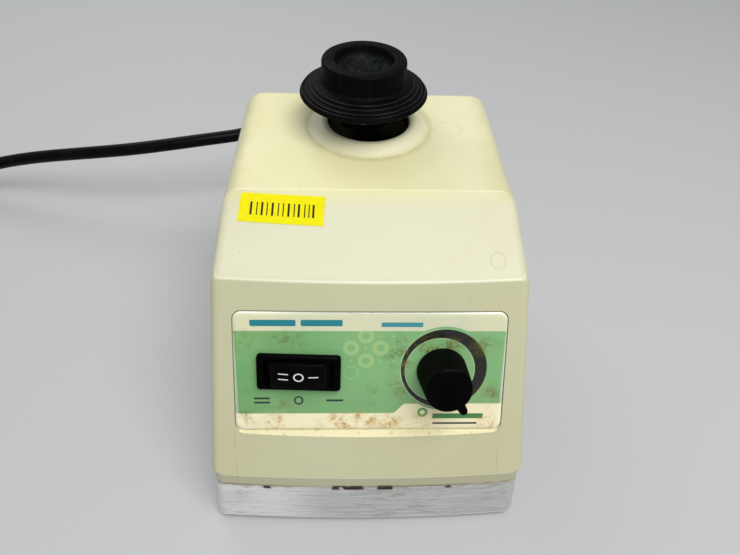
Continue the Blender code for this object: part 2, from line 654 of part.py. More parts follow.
def rotor(drive):
    shaft = rod("motor_shaft", SHAFT_RADIUS, 49 * MM, 103.2 * MM)
    add_object("motor_shaft", shaft, STEEL, parent=drive)
    bore = SHAFT_RADIUS + GAP
    core = ring("rotor_core", bore, ROTOR_RADIUS, STACK_LOW + GAP, STACK_HIGH - GAP, 32)
    add_object("rotor_core", core, IRON, parent=drive)
    outline = []
    blades = 8
    for k in range(blades):
        middle = 360 * k / blades
        outline += arc((0, 0), 7 * MM, middle - 360 / blades + 14, middle - 14, 2)
        outline += arc((0, 0), 17 * MM, middle - 4, middle + 4, 1)
    fan = add_object("cooling_fan", prism("cooling_fan", outline, 87 * MM, 91.3 * MM), BLACK, parent=drive)
    cut(fan, rod("fan_bore", bore, 86 * MM, 93 * MM), None, drive)

    outline = arc((0, 0), 15 * MM, -80, 80, 12) + arc((0, 0), 9 * MM, 100, 260, 12)
    mesh = prism("counterweight", outline, 100 * MM, 109 * MM)
    weight = add_object("counterweight", mesh, STEEL, parent=drive)
    cut(weight, rod("weight_bore", bore, 99 * MM, 103.5 * MM), None, drive)
    cut(weight, rod("pin_bore", PIN_RADIUS + GAP, 104.2 * MM, 110 * MM), at(-THROW), drive)
    pin = [(0, 104.5 * MM), (PIN_RADIUS, 104.5 * MM), (PIN_RADIUS, 109.3 * MM), (3.8 * MM, 109.3 * MM)]
    pin += [(3.8 * MM, TOP_Z + 3.1 * MM), (PIN_RADIUS, TOP_Z + 3.1 * MM), (PIN_RADIUS, TOP_Z + 11.9 * MM)]
    pin += [(0, TOP_Z + 11.9 * MM)]
    add_object("crank_pin", turned("crank_pin", pin, 20), STEEL, at(-THROW), drive)


def cup(orbit):
    """The cup and its hub, which ride on two bearings round the crank pin."""
    def heights(start, points):
        return [(radius * MM, start + z * MM) for radius, z in points]

    for name, rise in (("cup_bearing_lower", 0.75), ("cup_bearing_upper", 5.05)):
        low = HUB_Z + rise * MM
        mesh = ring(name, PIN_RADIUS + GAP, 6.5 * MM, low, low + 4.0 * MM)
        add_object(name, mesh, STEEL, parent=orbit)
    hub = [(6.8 * MM, HUB_Z), (HUB_RADIUS - 0.4 * MM, HUB_Z), (HUB_RADIUS, HUB_Z + 0.45 * MM)]
    hub += heights(HUB_Z, [(10.7, 8.95), (10.3, 9.35), (7.0, 9.35), (7.0, 14.25)])
    hub += heights(HUB_Z, [(0, 14.25), (0, 9.65), (6.8, 9.65)])
    made = add_object("cup_hub", turned("cup_hub", hub), BLACK, parent=orbit)
    across = at(z=HUB_Z + 4.85 * MM) @ Matrix.Rotation(math.radians(90), 4, "X")
    cut(made, rod("set_screw_hole", 1.8 * MM, 8 * MM, 14 * MM, 16), across, orbit)
    screw = heights(0, [(0, 8.3), (1.5, 8.3), (1.5, 10.5), (0.8, 10.5), (0.8, 9.6), (0, 9.6)])
    add_object("hub_set_screw", turned("hub_set_screw", screw, 12), STEEL, across, orbit)

    rubber = heights(HUB_Z, [(0, 14.55), (7.3, 14.55), (7.3, 9.65), (10.4, 9.65), (10.6, 12.5)])
    rubber += [(12.4 * MM, FLANGE_Z), (FLANGE_RADIUS - 1 * MM, FLANGE_Z)]
    rubber += [(FLANGE_RADIUS, FLANGE_Z + 0.5 * MM)]
    rubber += heights(FLANGE_Z, [(25.6, 1.9), (25.1, 2.1), (21.4, 4.1), (21.0, 4.7), (20.3, 5.0)])
    rubber += [(18.4 * MM, FLANGE_Z + 5.5 * MM), (CUP_RADIUS, FLANGE_Z + 6.3 * MM)]
    rubber += [(CUP_RADIUS, CUP_TOP - 0.9 * MM), (CUP_RADIUS - 0.8 * MM, CUP_TOP)]
    rubber += heights(CUP_TOP, [(12.3, 0), (12.0, -0.3), (11.6, -2.4), (3.6, -9.8), (0, -10.4)])
    add_object("rubber_cup", turned("rubber_cup", rubber, 40), RUBBER, parent=orbit)


# ---------------------------------------------------------------- touch switch and circuit board
def touch_switch():
    """A snap switch under the front edge of the motor plate, worked by a sprung lever."""
    half = 3.2 * MM
    low = (-half, SNAP_FRONT, BASE_TOP + GAP)
    body = box("touch_switch", low, (half, SNAP_FRONT + 20 * MM, SNAP_HIGH))
    add_object("touch_switch", body, BLACK)
    axis = empty("lever_axis", at(0, LEVER_Y, LEVER_Z))
    thick = 0.5 * MM
    outline = arc((0, 0), 0.6 * MM, 90, 270, 6)
    outline += [(LEVER_REACH, LEVER_RISE - thick), (LEVER_REACH, LEVER_RISE)]
    loops = [[(x, y, z) for y, z in outline] for x in (-2 * MM, 2 * MM)]
    add_object("touch_lever", loft("touch_lever", loops), STEEL, parent=axis)


def circuit_board():
    low = (-BOARD_HALF, BOARD_FRONT, BOARD_LOW)
    board = box("circuit_board", low, (BOARD_HALF, BOARD_BACK, BOARD_HIGH))
    add_object("circuit_board", board, BOARD)
    on_board = BOARD_HIGH + GAP
    fins, pitch, tall = 6, 4.0 * MM, 11.0 * MM
    outline = [(0, 0), (0, 2 * MM)]
    for k in range(fins):
        x = k * pitch
        outline += [(x, tall), (x + 1.4 * MM, tall)]
        if k < fins - 1:
            outline += [(x + 1.4 * MM, 2 * MM), (x + pitch, 2 * MM)]
    outline.append(((fins - 1) * pitch + 1.4 * MM, 0))
    sink = prism("heat_sink", outline[::-1], on_board, on_board + 20 * MM)
    add_object("heat_sink", sink, ALUMINIUM, at(2 * MM, BOARD_BACK - 13 * MM))
    y = BOARD_BACK - 13 * MM - GAP
    triac = box("triac", (7 * MM, y - 4.4 * MM, on_board), (17 * MM, y, on_board + 15 * MM))
    add_object("triac", triac, BLACK)
    low = (-26 * MM, BOARD_FRONT + 10 * MM, on_board)
    film = box("capacitor", low, (-8 * MM, BOARD_FRONT + 18 * MM, on_board + 13 * MM))
    add_object("capacitor", film, FILM)


# ---------------------------------------------------------------- rear fittings and mains cord
def fuse_fittings():
    frame = rear_frame(FUSE_X, FUSE_Z)
    deep = -26 * MM
    holder = [(5.2 * MM, deep + 1.5 * MM), (0, deep + 1.5 * MM), (0, deep), (7.5 * MM, deep)]
    holder += [(7.5 * MM, GAP), (9.2 * MM, GAP), (9.2 * MM, 1.6 * MM), (8.7 * MM, 2.1 * MM)]
    holder += [(5.2 * MM, 2.1 * MM)]
    add_object("fuse_holder", turned("fuse_holder", holder, 24), BLACK, frame)
    axis = empty("fuse_axis", frame)
    tip = 11.5 * MM
    cap = [(0, -3.3 * MM), (4.9 * MM, -3.3 * MM), (4.9 * MM, 2.4 * MM), (7.0 * MM, 2.4 * MM)]
    cap += [(6.7 * MM, tip - 0.8 * MM), (6.0 * MM, tip), (0, tip)]
    made = add_object("fuse_cap", turned("fuse_cap", cap, 24), BLACK, parent=axis)
    slot = box("cap_slot", (-5 * MM, -0.7 * MM, tip - 1.4 * MM), (5 * MM, 0.7 * MM, tip + 1 * MM))
    cut(made, slot, None, axis)
    add_object("fuse", rod("fuse", 2.6 * MM, -23.6 * MM, -3.6 * MM, 16), GLASS, parent=axis)


def cord_gland():
    flange = 3.0 * MM
    outline = [(0, -6.5 * MM), (6.0 * MM, -6.5 * MM), (6.0 * MM, GAP), (8.6 * MM, GAP)]
    outline += [(8.6 * MM, flange - 0.6 * MM), (8.0 * MM, flange), (6.6 * MM, flange + 0.6 * MM)]
    outline += [(5.2 * MM, GLAND_LENGTH), (0, GLAND_LENGTH)]
    add_object("cord_gland", turned("cord_gland", outline, 20), PVC, rear_frame(GLAND_X, GLAND_Z))


def smooth_route(stops, spacing):
    """Points along a smooth curve through the stops, about one spacing apart."""
    stops = [Vector(stop) for stop in stops]
    padded = [2 * stops[0] - stops[1], *stops, 2 * stops[-1] - stops[-2]]
    points = [stops[0]]
    for before, start, end, after in zip(padded, padded[1:], padded[2:], padded[3:]):
        steps = max(1, round((end - start).length / spacing))
        for k in range(1, steps + 1):
            t = k / steps
            lead = 2 * start + (end - before) * t
            curve = (2 * before - 5 * start + 4 * end - after) * t**2
            close = (3 * start - before - 3 * end + after) * t**3
            points.append((lead + curve + close) / 2)
    return points


def cord_route():
    """The cord's route: straight out of the gland, round to the left, then down to the bench."""
    leave = rear_frame(GLAND_X, GLAND_Z) @ Vector((0, 0, GLAND_LENGTH + GAP))
    ahead = REAR_OUT * 9 * MM
    stops = [leave, leave + ahead]
    for x, y, z in (
        (-34.0, 219.5, 53.3),
        (-45.5, 228.5, 53.2),
        (-61.5, 229.5, 52.4),
        (-82.3, 224.2, 51.0),
        (-104.3, 219.4, 50.0),
        (-126.0, 216.2, 48.2),
        (-146.0, 214.7, 46.0),
        (-169.0, 216.3, 42.3),
        (-192.0, 219.4, 38.0),
        (-217.0, 223.2, 32.6),
        (-241.3, 226.5, 26.0),
        (-262.0, 228.4, 18.6),
        (-280.0, 229.0, 11.4),
        (-294.0, 229.0, 6.3),
        (-305.8, 229.0, 4.2),
    ):
        stops.append(Vector((x * MM, LIP_Y + y * MM, z * MM)))
    return stops


def mains_cord():
    curve = bpy.data.curves.new("power_cord", "CURVE")
    curve.dimensions = "3D"
    curve.bevel_depth = CORD_RADIUS
    curve.bevel_resolution = 3
    curve.use_fill_caps = True
    route = smooth_route(cord_route(), ROUTE_SPACING)
    line = curve.splines.new("POLY")
    line.points.add(len(route) - 1)
    for point, place in zip(line.points, route):
        point.co = (*place, 1)
    add_object("power_cord", curve, PVC)

    wide, tall = COIL_BAND
    low = 0.1 * MM
    band = rounded_box(wide / 2, tall / 2, 3.5 * MM, 2)
    outline = [(COIL_RADIUS + x, low + tall / 2 + z) for x, z in band]
    add_object("cord_coil", turned("cord_coil", outline, 36), PVC, at(*COIL_CENTRE))


def plug():
    """A round earthed plug lying on its side, its nose against the coil, its pins towards -Y."""
    coil_outer = COIL_RADIUS + COIL_BAND[0] / 2
    nose = 5.4 * MM
    x = -COIL_RADIUS - 4.0 * MM
    reach = math.sqrt(coil_outer**2 - (x + nose) ** 2)
    turn = Matrix.Rotation(math.radians(90), 4, "X")
    lift = PLUG_RADIUS + 0.1 * MM
    frame = at(COIL_CENTRE[0] + x, COIL_CENTRE[1] - reach - 1.2 * MM, lift) @ turn
    outline = [(0, 0), (nose, 0), (6.4 * MM, 14 * MM), (13.5 * MM, 20 * MM)]
    outline += [(PLUG_RADIUS - 1 * MM, 27 * MM), (PLUG_RADIUS, 29 * MM), (PLUG_RADIUS, 42.5 * MM)]
    outline += [(PLUG_RADIUS - 0.8 * MM, 43.5 * MM), (0, 43.5 * MM)]
    body = add_object("plug", turned("plug", outline, 32), PVC, frame)
    for side, shift in (("left", -9.5 * MM), ("right", 9.5 * MM)):
        place = frame @ at(shift)
        cut(body, rod("pin_socket", 2.7 * MM, 39.5 * MM, 45 * MM, 16), place)
        outline = [(0, 39.8 * MM), (2.4 * MM, 39.8 * MM), (2.4 * MM, 61.6 * MM)]
        outline += [(1.6 * MM, 62.5 * MM), (0, 62.5 * MM)]
        add_object(f"plug_pin_{side}", turned(f"plug_pin_{side}", outline, 16), BRASS, place)


# ---------------------------------------------------------------- assembly
base_plate()
feet()
housing_screws()
housing()
panel_label()
power_switch()
speed_control()
circuit_board()
touch_switch()
motor_suspension()
press_slide = empty("press_slide", at(0, AXIS_Y))
motor_plate(press_slide)
motor(press_slide)
drive_axis = empty("drive_axis", Matrix.Identity(4), press_slide)
rotor(drive_axis)
cup_axis = empty("cup_axis", at(-THROW), drive_axis)
cup(cup_axis)
fuse_fittings()
cord_gland()
mains_cord()
plug()
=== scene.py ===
"""Looks for the vortex mixer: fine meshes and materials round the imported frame.

Everything is in metres, in the frame's own axes: +Z up, the control face towards -Y.
"""
import json
import math

import bmesh
import bpy
from mathutils import Matrix, Vector

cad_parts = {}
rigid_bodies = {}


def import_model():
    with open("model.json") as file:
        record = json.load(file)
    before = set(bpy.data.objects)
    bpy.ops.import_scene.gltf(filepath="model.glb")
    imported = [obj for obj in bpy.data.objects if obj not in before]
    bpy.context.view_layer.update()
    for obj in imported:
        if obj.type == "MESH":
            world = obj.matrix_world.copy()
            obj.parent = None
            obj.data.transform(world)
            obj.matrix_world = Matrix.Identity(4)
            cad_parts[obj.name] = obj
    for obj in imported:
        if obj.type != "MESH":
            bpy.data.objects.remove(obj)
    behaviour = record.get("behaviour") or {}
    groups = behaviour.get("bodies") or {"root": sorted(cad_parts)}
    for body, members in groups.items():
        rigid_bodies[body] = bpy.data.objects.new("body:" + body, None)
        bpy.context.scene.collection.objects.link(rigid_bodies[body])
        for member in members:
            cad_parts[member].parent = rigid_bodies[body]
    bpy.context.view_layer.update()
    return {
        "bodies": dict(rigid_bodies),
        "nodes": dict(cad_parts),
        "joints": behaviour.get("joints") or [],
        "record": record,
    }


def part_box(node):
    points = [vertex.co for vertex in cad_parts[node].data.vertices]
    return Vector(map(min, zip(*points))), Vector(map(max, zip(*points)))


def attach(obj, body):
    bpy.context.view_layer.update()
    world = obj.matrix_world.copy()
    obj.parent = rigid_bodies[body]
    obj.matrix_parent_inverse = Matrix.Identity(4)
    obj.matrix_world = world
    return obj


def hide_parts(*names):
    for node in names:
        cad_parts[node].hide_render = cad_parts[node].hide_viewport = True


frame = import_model()

MM = 0.001
GAP = 0.3 * MM

# ---------------------------------------------------------------- places read from the frame
HOUSING_LOW, HOUSING_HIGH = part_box("housing")
BASE_LOW, BASE_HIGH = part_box("base_plate")
LIP_Y = HOUSING_LOW.y
HALF_LIP = HOUSING_HIGH.x
COLLAR_HEIGHT = 3.2 * MM
TOP_Z = HOUSING_HIGH.z - COLLAR_HEIGHT
BACK_FOOT_Y = HOUSING_HIGH.y
BASE_BOTTOM = BASE_LOW.z
BASE_TOP = HOUSING_LOW.z - GAP
BASE_HALF = BASE_HIGH.x
SHAFT_LOW, SHAFT_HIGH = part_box("motor_shaft")
AXIS_Y = (SHAFT_LOW.y + SHAFT_HIGH.y) / 2
CUP_LOW, CUP_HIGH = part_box("rubber_cup")
CUP_X = (CUP_LOW.x + CUP_HIGH.x) / 2
CUP_TOP = CUP_HIGH.z
CUP_RIM = (CUP_HIGH.x - CUP_LOW.x) / 2
HUB_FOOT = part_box("cup_hub")[0].z

# ---------------------------------------------------------------- sizes of the shapes
LIP_Z = 35.0 * MM
FOLD_LOW = (LIP_Y + 37.2 * MM, 108.2 * MM)
FOLD_HIGH = (LIP_Y + 74.0 * MM, TOP_Z)
BACK_TOP_Y = BACK_FOOT_Y - 5.0 * MM
HALF_TOP = HALF_LIP - 5.9 * MM
BOW = 2.3 * MM
WALL = 2.6 * MM
EDGE_ROUND = 7.0 * MM
RECESS = 1.2 * MM
RECESS_SLOPE = 0.9  # how far the recess's lower wall leans out, for each unit of its depth
BASE_CORNER = 4.0 * MM
BASE_DRAFT = 2.3 * MM
BASE_AHEAD = 2.9 * MM  # how far the base's foot stands out in front of the housing
BASE_REAR_LEDGE = 1.2 * MM

LABEL_LOW, LABEL_HIGH = 20.7 * MM, 70.2 * MM
LABEL_HALF_LOW, LABEL_HALF_HIGH = 51.5 * MM, 50.3 * MM
LABEL_CORNER = 3.6 * MM
LABEL_SET = BOW * (LABEL_HALF_LOW / HALF_LIP) ** 2  # the flat label lies this far behind the bow
SWITCH_X, KNOB_X, CONTROL_V = -26.4 * MM, 26.6 * MM, 47.2 * MM
KNOB_REST = math.radians(-57)

HOLE_RADIUS = 17.5 * MM
COLLAR_RADIUS = 26.3 * MM

TAG_X, TAG_UP, TAG_TURN = -33.3 * MM, 29.8 * MM, math.radians(-2.3)

CORD_RADIUS = 3.9 * MM
GLAND_X, GLAND_Z, GLAND_LENGTH = -30.0 * MM, 50.0 * MM, 40.0 * MM
FUSE_X, FUSE_Z = 42.0 * MM, 63.0 * MM
COIL_CENTRE = Vector((-335.0 * MM, LIP_Y + 182.0 * MM, 0))
COIL_OUT, COIL_IN = 47.5 * MM, 38.4 * MM  # radii of the outer and the inner turns
COIL_LAYERS = (4.0 * MM, 11.9 * MM, 19.8 * MM)
COIL_END = COIL_LAYERS[2] - 1.2 * MM
SLOPE_BOW = 0.8 * MM  # how far the slope's upper fold stands forward in its middle

FACE_UP = Vector((0, FOLD_LOW[0] - LIP_Y, FOLD_LOW[1] - LIP_Z)).normalized()
FACE_OUT = Vector((0, -FACE_UP.z, FACE_UP.y))
SLOPE_UP = Vector((0, FOLD_HIGH[0] - FOLD_LOW[0], FOLD_HIGH[1] - FOLD_LOW[1])).normalized()
SLOPE_OUT = Vector((0, -SLOPE_UP.z, SLOPE_UP.y))
REAR_UP = Vector((0, BACK_TOP_Y - BACK_FOOT_Y, TOP_Z - LIP_Z)).normalized()
REAR_OUT = Vector((0, REAR_UP.z, -REAR_UP.y))


# ---------------------------------------------------------------- camera, light and floor
def camera():
    made = bpy.data.objects.new("camera", bpy.data.cameras.new("camera"))
    bpy.context.collection.objects.link(made)
    made.location = (-8.2 * MM, -185.8 * MM, 253.7 * MM)
    made.rotation_euler = [math.radians(angle) for angle in (44.58, -1.72, -1.26)]
    made.data.lens = 28.0
    made.data.clip_start = 0.01
    bpy.context.scene.camera = made


def area_light(name, place, target, size, power, colour):
    lamp = bpy.data.lights.new(name, "AREA")
    lamp.shape = "RECTANGLE"
    lamp.size, lamp.size_y = size
    lamp.energy = power
    lamp.color = colour
    made = bpy.data.objects.new(name, lamp)
    bpy.context.collection.objects.link(made)
    made.location = place
    made.rotation_euler = (Vector(target) - Vector(place)).to_track_quat("-Z", "Y").to_euler()


def studio():
    world = bpy.data.worlds.new("studio")
    bpy.context.scene.world = world
    world.use_nodes = True
    background = world.node_tree.nodes["Background"]
    background.inputs["Color"].default_value = (0.96, 0.98, 1.0, 1.0)
    background.inputs["Strength"].default_value = 0.42
    area_light("key", (0.25, -0.45, 1.15), (0, 0, 0.08), (0.9, 0.7), 14.5, (1.0, 0.99, 0.965))
    area_light("rear_fill", (-0.5, 0.9, 0.9), (0, 0, 0.08), (0.8, 0.6), 4.0, (0.97, 0.985, 1.0))
    bpy.context.scene.view_settings.view_transform = "Standard"

    work = bmesh.new()
    bmesh.ops.create_circle(work, cap_ends=True, radius=4.0, segments=96)
    mesh = bpy.data.meshes.new("floor")
    work.to_mesh(mesh)
    work.free()
    floor = bpy.data.objects.new("floor", mesh)
    bpy.context.collection.objects.link(floor)
    paint = Paint("floor_paint", (0.44, 0.445, 0.45), 0.6)
    grain = paint.noise(900, 3)
    paint.set("Roughness", paint.span(grain, 0.3, 0.7, 0.5, 0.7))
    paint.bump((grain, 0.05 * MM))
    mesh.materials.append(paint.made)


# ---------------------------------------------------------------- material helper
class Paint:
    """A material, with short calls for the nodes that feed its Principled shader."""

    def __init__(self, name, colour, roughness, metallic=0.0):
        self.made = bpy.data.materials.new(name)
        self.made.use_nodes = True
        self.tree = self.made.node_tree
        self.shader = self.tree.nodes["Principled BSDF"]
        self.set("Base Color", (*colour, 1.0))
        self.set("Roughness", roughness)
        self.set("Metallic", metallic)
        self.place = self.node("ShaderNodeTexCoord").outputs["Object"]
        split = self.node("ShaderNodeSeparateXYZ", {0: self.place})
        self.x, self.y, self.z = split.outputs

    def feed(self, socket, value):
        if isinstance(value, bpy.types.NodeSocket):
            self.tree.links.new(value, socket)
        else:
            socket.default_value = value

    def set(self, socket, value):
        self.feed(self.shader.inputs[socket], value)

    def node(self, kind, inputs=None, **settings):
        made = self.tree.nodes.new(kind)
        for name, value in settings.items():
            setattr(made, name, value)
        for key, value in (inputs or {}).items():
            self.feed(made.inputs[key], value)
        return made

    def math(self, operation, a, b=0.0):
        return self.node("ShaderNodeMath", {0: a, 1: b}, operation=operation).outputs[0]

    def add(self, a, b):
        return self.math("ADD", a, b)

    def less(self, a, b):
        return self.math("SUBTRACT", a, b)

    def times(self, first, *others):
        """The product of several values."""
        for other in others:
            first = self.math("MULTIPLY", first, other)
        return first

    def either(self, *masks):
        """The strongest of several masks."""
        found = masks[0]
        for mask in masks[1:]:
            found = self.math("MAXIMUM", found, mask)
        return found

    def span(self, value, low, high, start=0.0, end=1.0):
        """value from low to high becomes start to end, eased and clamped. low may be above high."""
        inputs = {"Value": value, "From Min": low, "From Max": high, "To Min": start, "To Max": end}
        return self.node("ShaderNodeMapRange", inputs, interpolation_type="SMOOTHSTEP").outputs[0]

    def stretched(self, x, y, z):
        """The object's coordinates, scaled along each axis."""
        scale = {0: self.place, 1: (x, y, z)}
        return self.node("ShaderNodeVectorMath", scale, operation="MULTIPLY").outputs[0]

    def noise(self, scale, detail=2.0, rough=0.5, at=None, distortion=0.0):
        inputs = {"Vector": at or self.place, "Scale": scale, "Detail": detail}
        inputs.update({"Roughness": rough, "Distortion": distortion})
        return self.node("ShaderNodeTexNoise", inputs).outputs[0]

    def specks(self, scale, radius, at=None):
        """Small round spots, one in each cell of a grid that has been shaken up."""
        inputs = {"Vector": at or self.place, "Scale": scale}
        distance = self.node("ShaderNodeTexVoronoi", inputs).outputs["Distance"]
        return self.span(distance, radius, radius * 0.5)

    def mix(self, factor, a, b):
        made = self.node("ShaderNodeMix", data_type="RGBA")
        for index, value in ((0, factor), (6, a), (7, b)):
            plain = not isinstance(value, bpy.types.NodeSocket)
            self.feed(made.inputs[index], (*value, 1.0) if plain and index else value)
        return made.outputs[2]

    def blend(self, factor, a, b):
        """Start the base colour as a blend of two."""
        self.colour = self.mix(factor, a, b)
        self.set("Base Color", self.colour)

    def lay(self, mask, colour, amount=None):
        """Lay a colour over the base colour, where a mask is 1."""
        self.blend(self.times(mask, amount) if amount else mask, self.colour, colour)

    def bump(self, *layers):
        """Each layer is a height from 0 to 1 and what it comes to in metres."""
        normal = None
        for height, depth in layers:
            inputs = {"Height": height, "Distance": depth, "Strength": 1.0}
            if normal:
                inputs["Normal"] = normal
            normal = self.node("ShaderNodeBump", inputs).outputs[0]
        self.set("Normal", normal)

    def box_mask(self, x, y, centre, half, soft, corner=0.0):
        """1 inside a rectangle with round corners, 0 outside, over a soft edge."""
        reach = []
        for value, middle, size in zip((x, y), centre, half):
            away = self.math("ABSOLUTE", self.less(value, middle))
            reach.append(self.less(away, size - corner))
        outside = [self.math("MAXIMUM", value, 0.0) for value in reach]
        length = self.math("SQRT", self.add(*[self.math("POWER", value, 2.0) for value in outside]))
        inside = self.math("MINIMUM", self.math("MAXIMUM", *reach), 0.0)
        return self.span(self.add(length, inside), corner + soft / 2, corner - soft / 2)

    def away_from(self, x, y, centre, squash=1.0):
        """Distance from a centre, with the second direction stretched."""
        across = self.less(x, centre[0])
        along = self.times(self.less(y, centre[1]), squash)
        both = self.add(self.math("POWER", across, 2.0), self.math("POWER", along, 2.0))
        return self.math("SQRT", both)

    def ring_mask(self, distance, radius, half, soft):
        """1 on a ring at a radius, half as wide each way."""
        off = self.math("ABSOLUTE", self.less(distance, radius))
        return self.span(off, half + soft / 2, half - soft / 2)


# ---------------------------------------------------------------- mesh helpers
def shade(mesh, angle=32):
    """Smooth shading, with the edges past an angle kept sharp."""
    mesh.shade_smooth()
    mesh.set_sharp_from_angle(angle=math.radians(angle))


def show(name, work, frame=None):
    """Turn a bmesh into a shown object, in its own frame if it has one."""
    bmesh.ops.recalc_face_normals(work, faces=work.faces)
    mesh = bpy.data.meshes.new(name)
    work.to_mesh(mesh)
    work.free()
    shade(mesh)
    made = bpy.data.objects.new(name, mesh)
    bpy.context.collection.objects.link(made)
    made.matrix_world = frame or Matrix.Identity(4)
    return made


def loft(name, loops, frame=None):
    """Skin a row of equal loops and cap both ends."""
    work = bmesh.new()
    rings = [[work.verts.new(point) for point in loop] for loop in loops]
    work.faces.new(rings[0])
    work.faces.new(reversed(rings[-1]))
    for low, high in zip(rings, rings[1:]):
        for a, b, c, d in zip(low, high, high[1:] + high[:1], low[1:] + low[:1]):
            work.faces.new((a, b, c, d))
    return show(name, work, frame)


def turned(name, outline, frame=None, segments=96, ribs=0, rib_depth=0.0, ribbed=()):
    """Turn a closed outline of (radius, z) round Z. The outline's ribbed points get flutes."""
    work = bmesh.new()
    rings = []
    for index, (radius, z) in enumerate(outline):
        if radius < 1e-9:
            rings.append([work.verts.new((0, 0, z))])
            continue
        loop = []
        for k in range(segments):
            angle = 2 * math.pi * k / segments
            dip = rib_depth * (0.5 - 0.5 * math.cos(ribs * angle)) if index in ribbed else 0.0
            reach = radius - dip
            loop.append(work.verts.new((reach * math.cos(angle), reach * math.sin(angle), z)))
        rings.append(loop)
    for here, there in zip(rings, rings[1:] + rings[:1]):
        for k in range(segments):
            corners = [here[k % len(here)], here[(k + 1) % len(here)]]
            corners += [there[(k + 1) % len(there)], there[k % len(there)]]
            corners = list(dict.fromkeys(corners))
            if len(corners) > 2:
                work.faces.new(corners)
    return show(name, work, frame)


def arc(centre, radius, start, end, steps):
    """Points along an arc, angles in degrees."""
    angles = [math.radians(start + (end - start) * k / steps) for k in range(steps + 1)]
    return [(centre[0] + radius * math.cos(a), centre[1] + radius * math.sin(a)) for a in angles]


def rounded_box(half_x, half_y, radius, steps=8):
    """Outline of a rectangle with round corners, centred on the origin."""
    outline = []
    for sign_x, sign_y, start in ((1, 1, 0), (-1, 1, 90), (-1, -1, 180), (1, -1, 270)):
        centre = (sign_x * (half_x - radius), sign_y * (half_y - radius))
        outline += arc(centre, radius, start, start + 90, steps)
    return outline


def heights(start, points):
    """Points of (radius, z) in millimetres, with z counted from a height in metres."""
    return [(radius * MM, start + z * MM) for radius, z in points]


def prism(name, outline, low, high, frame=None):
    return loft(name, [[(x, y, z) for x, y in outline] for z in (low, high)], frame)


def rod(name, radius, low, high, frame=None, segments=48):
    return turned(name, [(0, low), (radius, low), (radius, high), (0, high)], frame, segments)


def combine(target, tool, operation="DIFFERENCE"):
    step = target.modifiers.new(tool.name, "BOOLEAN")
    step.operation = operation
    step.object = tool


def settle(made, angle=32):
    """Apply a piece's modifiers, remove the tools that they used, and even out its shading."""
    bpy.context.view_layer.update()
    ready = made.evaluated_get(bpy.context.evaluated_depsgraph_get())
    mesh = bpy.data.meshes.new_from_object(ready)
    tools = [step.object for step in made.modifiers if step.type == "BOOLEAN"]
    made.modifiers.clear()
    made.data = mesh
    for tool in tools:
        bpy.data.objects.remove(tool)
    shade(mesh, angle)
    even = made.modifiers.new("even_shading", "WEIGHTED_NORMAL")
    even.keep_sharp = True
    return made


def at(x=0.0, y=0.0, z=0.0):
    return Matrix.Translation((x, y, z))


def place(made, paint, slot, body, *nodes):
    """Give a piece its material, its body and the CAD nodes that it stands for."""
    made.data.materials.clear()
    made.data.materials.append(paint)
    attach(made, body)
    if nodes:
        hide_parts(*nodes)
    return made


# ---------------------------------------------------------------- the housing's planes
def half_width(z):
    """Half the housing's width at a height: its sides lean in above the lip."""
    share = max(0.0, (z - LIP_Z) / (TOP_Z - LIP_Z))
    return HALF_LIP + (HALF_TOP - HALF_LIP) * share


def face_point(x, v, out=0.0):
    """A point on the bowed control face: x across, v up from the lip, out along its normal."""
    half = half_width(LIP_Z + v * FACE_UP.z)
    return Vector((x, LIP_Y + BOW * (x / half) ** 2, LIP_Z)) + FACE_UP * v + FACE_OUT * out


def label_point(x, v, out=0.0):
    """A point on the flat plane that the label lies in, which meets the face at its ends."""
    return Vector((x, LIP_Y + LABEL_SET, LIP_Z)) + FACE_UP * v + FACE_OUT * out


def slope_point(x, s, out=0.0):
    """A point on the slope above the control face, s up from the lower fold."""
    spot = Vector((0, *FOLD_LOW)) + SLOPE_UP * s
    share = s / (Vector(FOLD_HIGH) - Vector(FOLD_LOW)).length
    bow = BOW + (SLOPE_BOW - BOW) * share
    return Vector((x, spot.y + bow * (x / half_width(spot.z)) ** 2, spot.z)) + SLOPE_OUT * out


def face_frame(x, v):
    """The frame of a control: X across the face, Y up it, Z outward."""
    step = 0.1 * MM
    across = (face_point(x + step, v) - face_point(x - step, v)).normalized()
    out = across.cross(FACE_UP).normalized()
    up = out.cross(across)
    frame = Matrix((across, up, out)).transposed().to_4x4()
    return Matrix.Translation(face_point(x, v)) @ frame


def rear_frame(x, z):
    """The frame of a rear fitting: Z outward, X towards -X, Y up the rear wall."""
    frame = Matrix((Vector((-1, 0, 0)), REAR_UP, REAR_OUT)).transposed().to_4x4()
    y = BACK_FOOT_Y + (z - LIP_Z) * REAR_UP.y / REAR_UP.z
    return at(x, y, z) @ frame


# ---------------------------------------------------------------- mains cord
def smooth_route(stops, spacing):
    """Points along a smooth curve through the stops, about one spacing apart."""
    stops = [Vector(stop) for stop in stops]
    padded = [2 * stops[0] - stops[1], *stops, 2 * stops[-1] - stops[-2]]
    points = [stops[0]]
    for before, start, end, after in zip(padded, padded[1:], padded[2:], padded[3:]):
        steps = max(1, round((end - start).length / spacing))
        for k in range(1, steps + 1):
            t = k / steps
            lead = 2 * start + (end - before) * t
            curve = (2 * before - 5 * start + 4 * end - after) * t**2
            close = (3 * start - before - 3 * end + after) * t**3
            points.append((lead + curve + close) / 2)
    return points


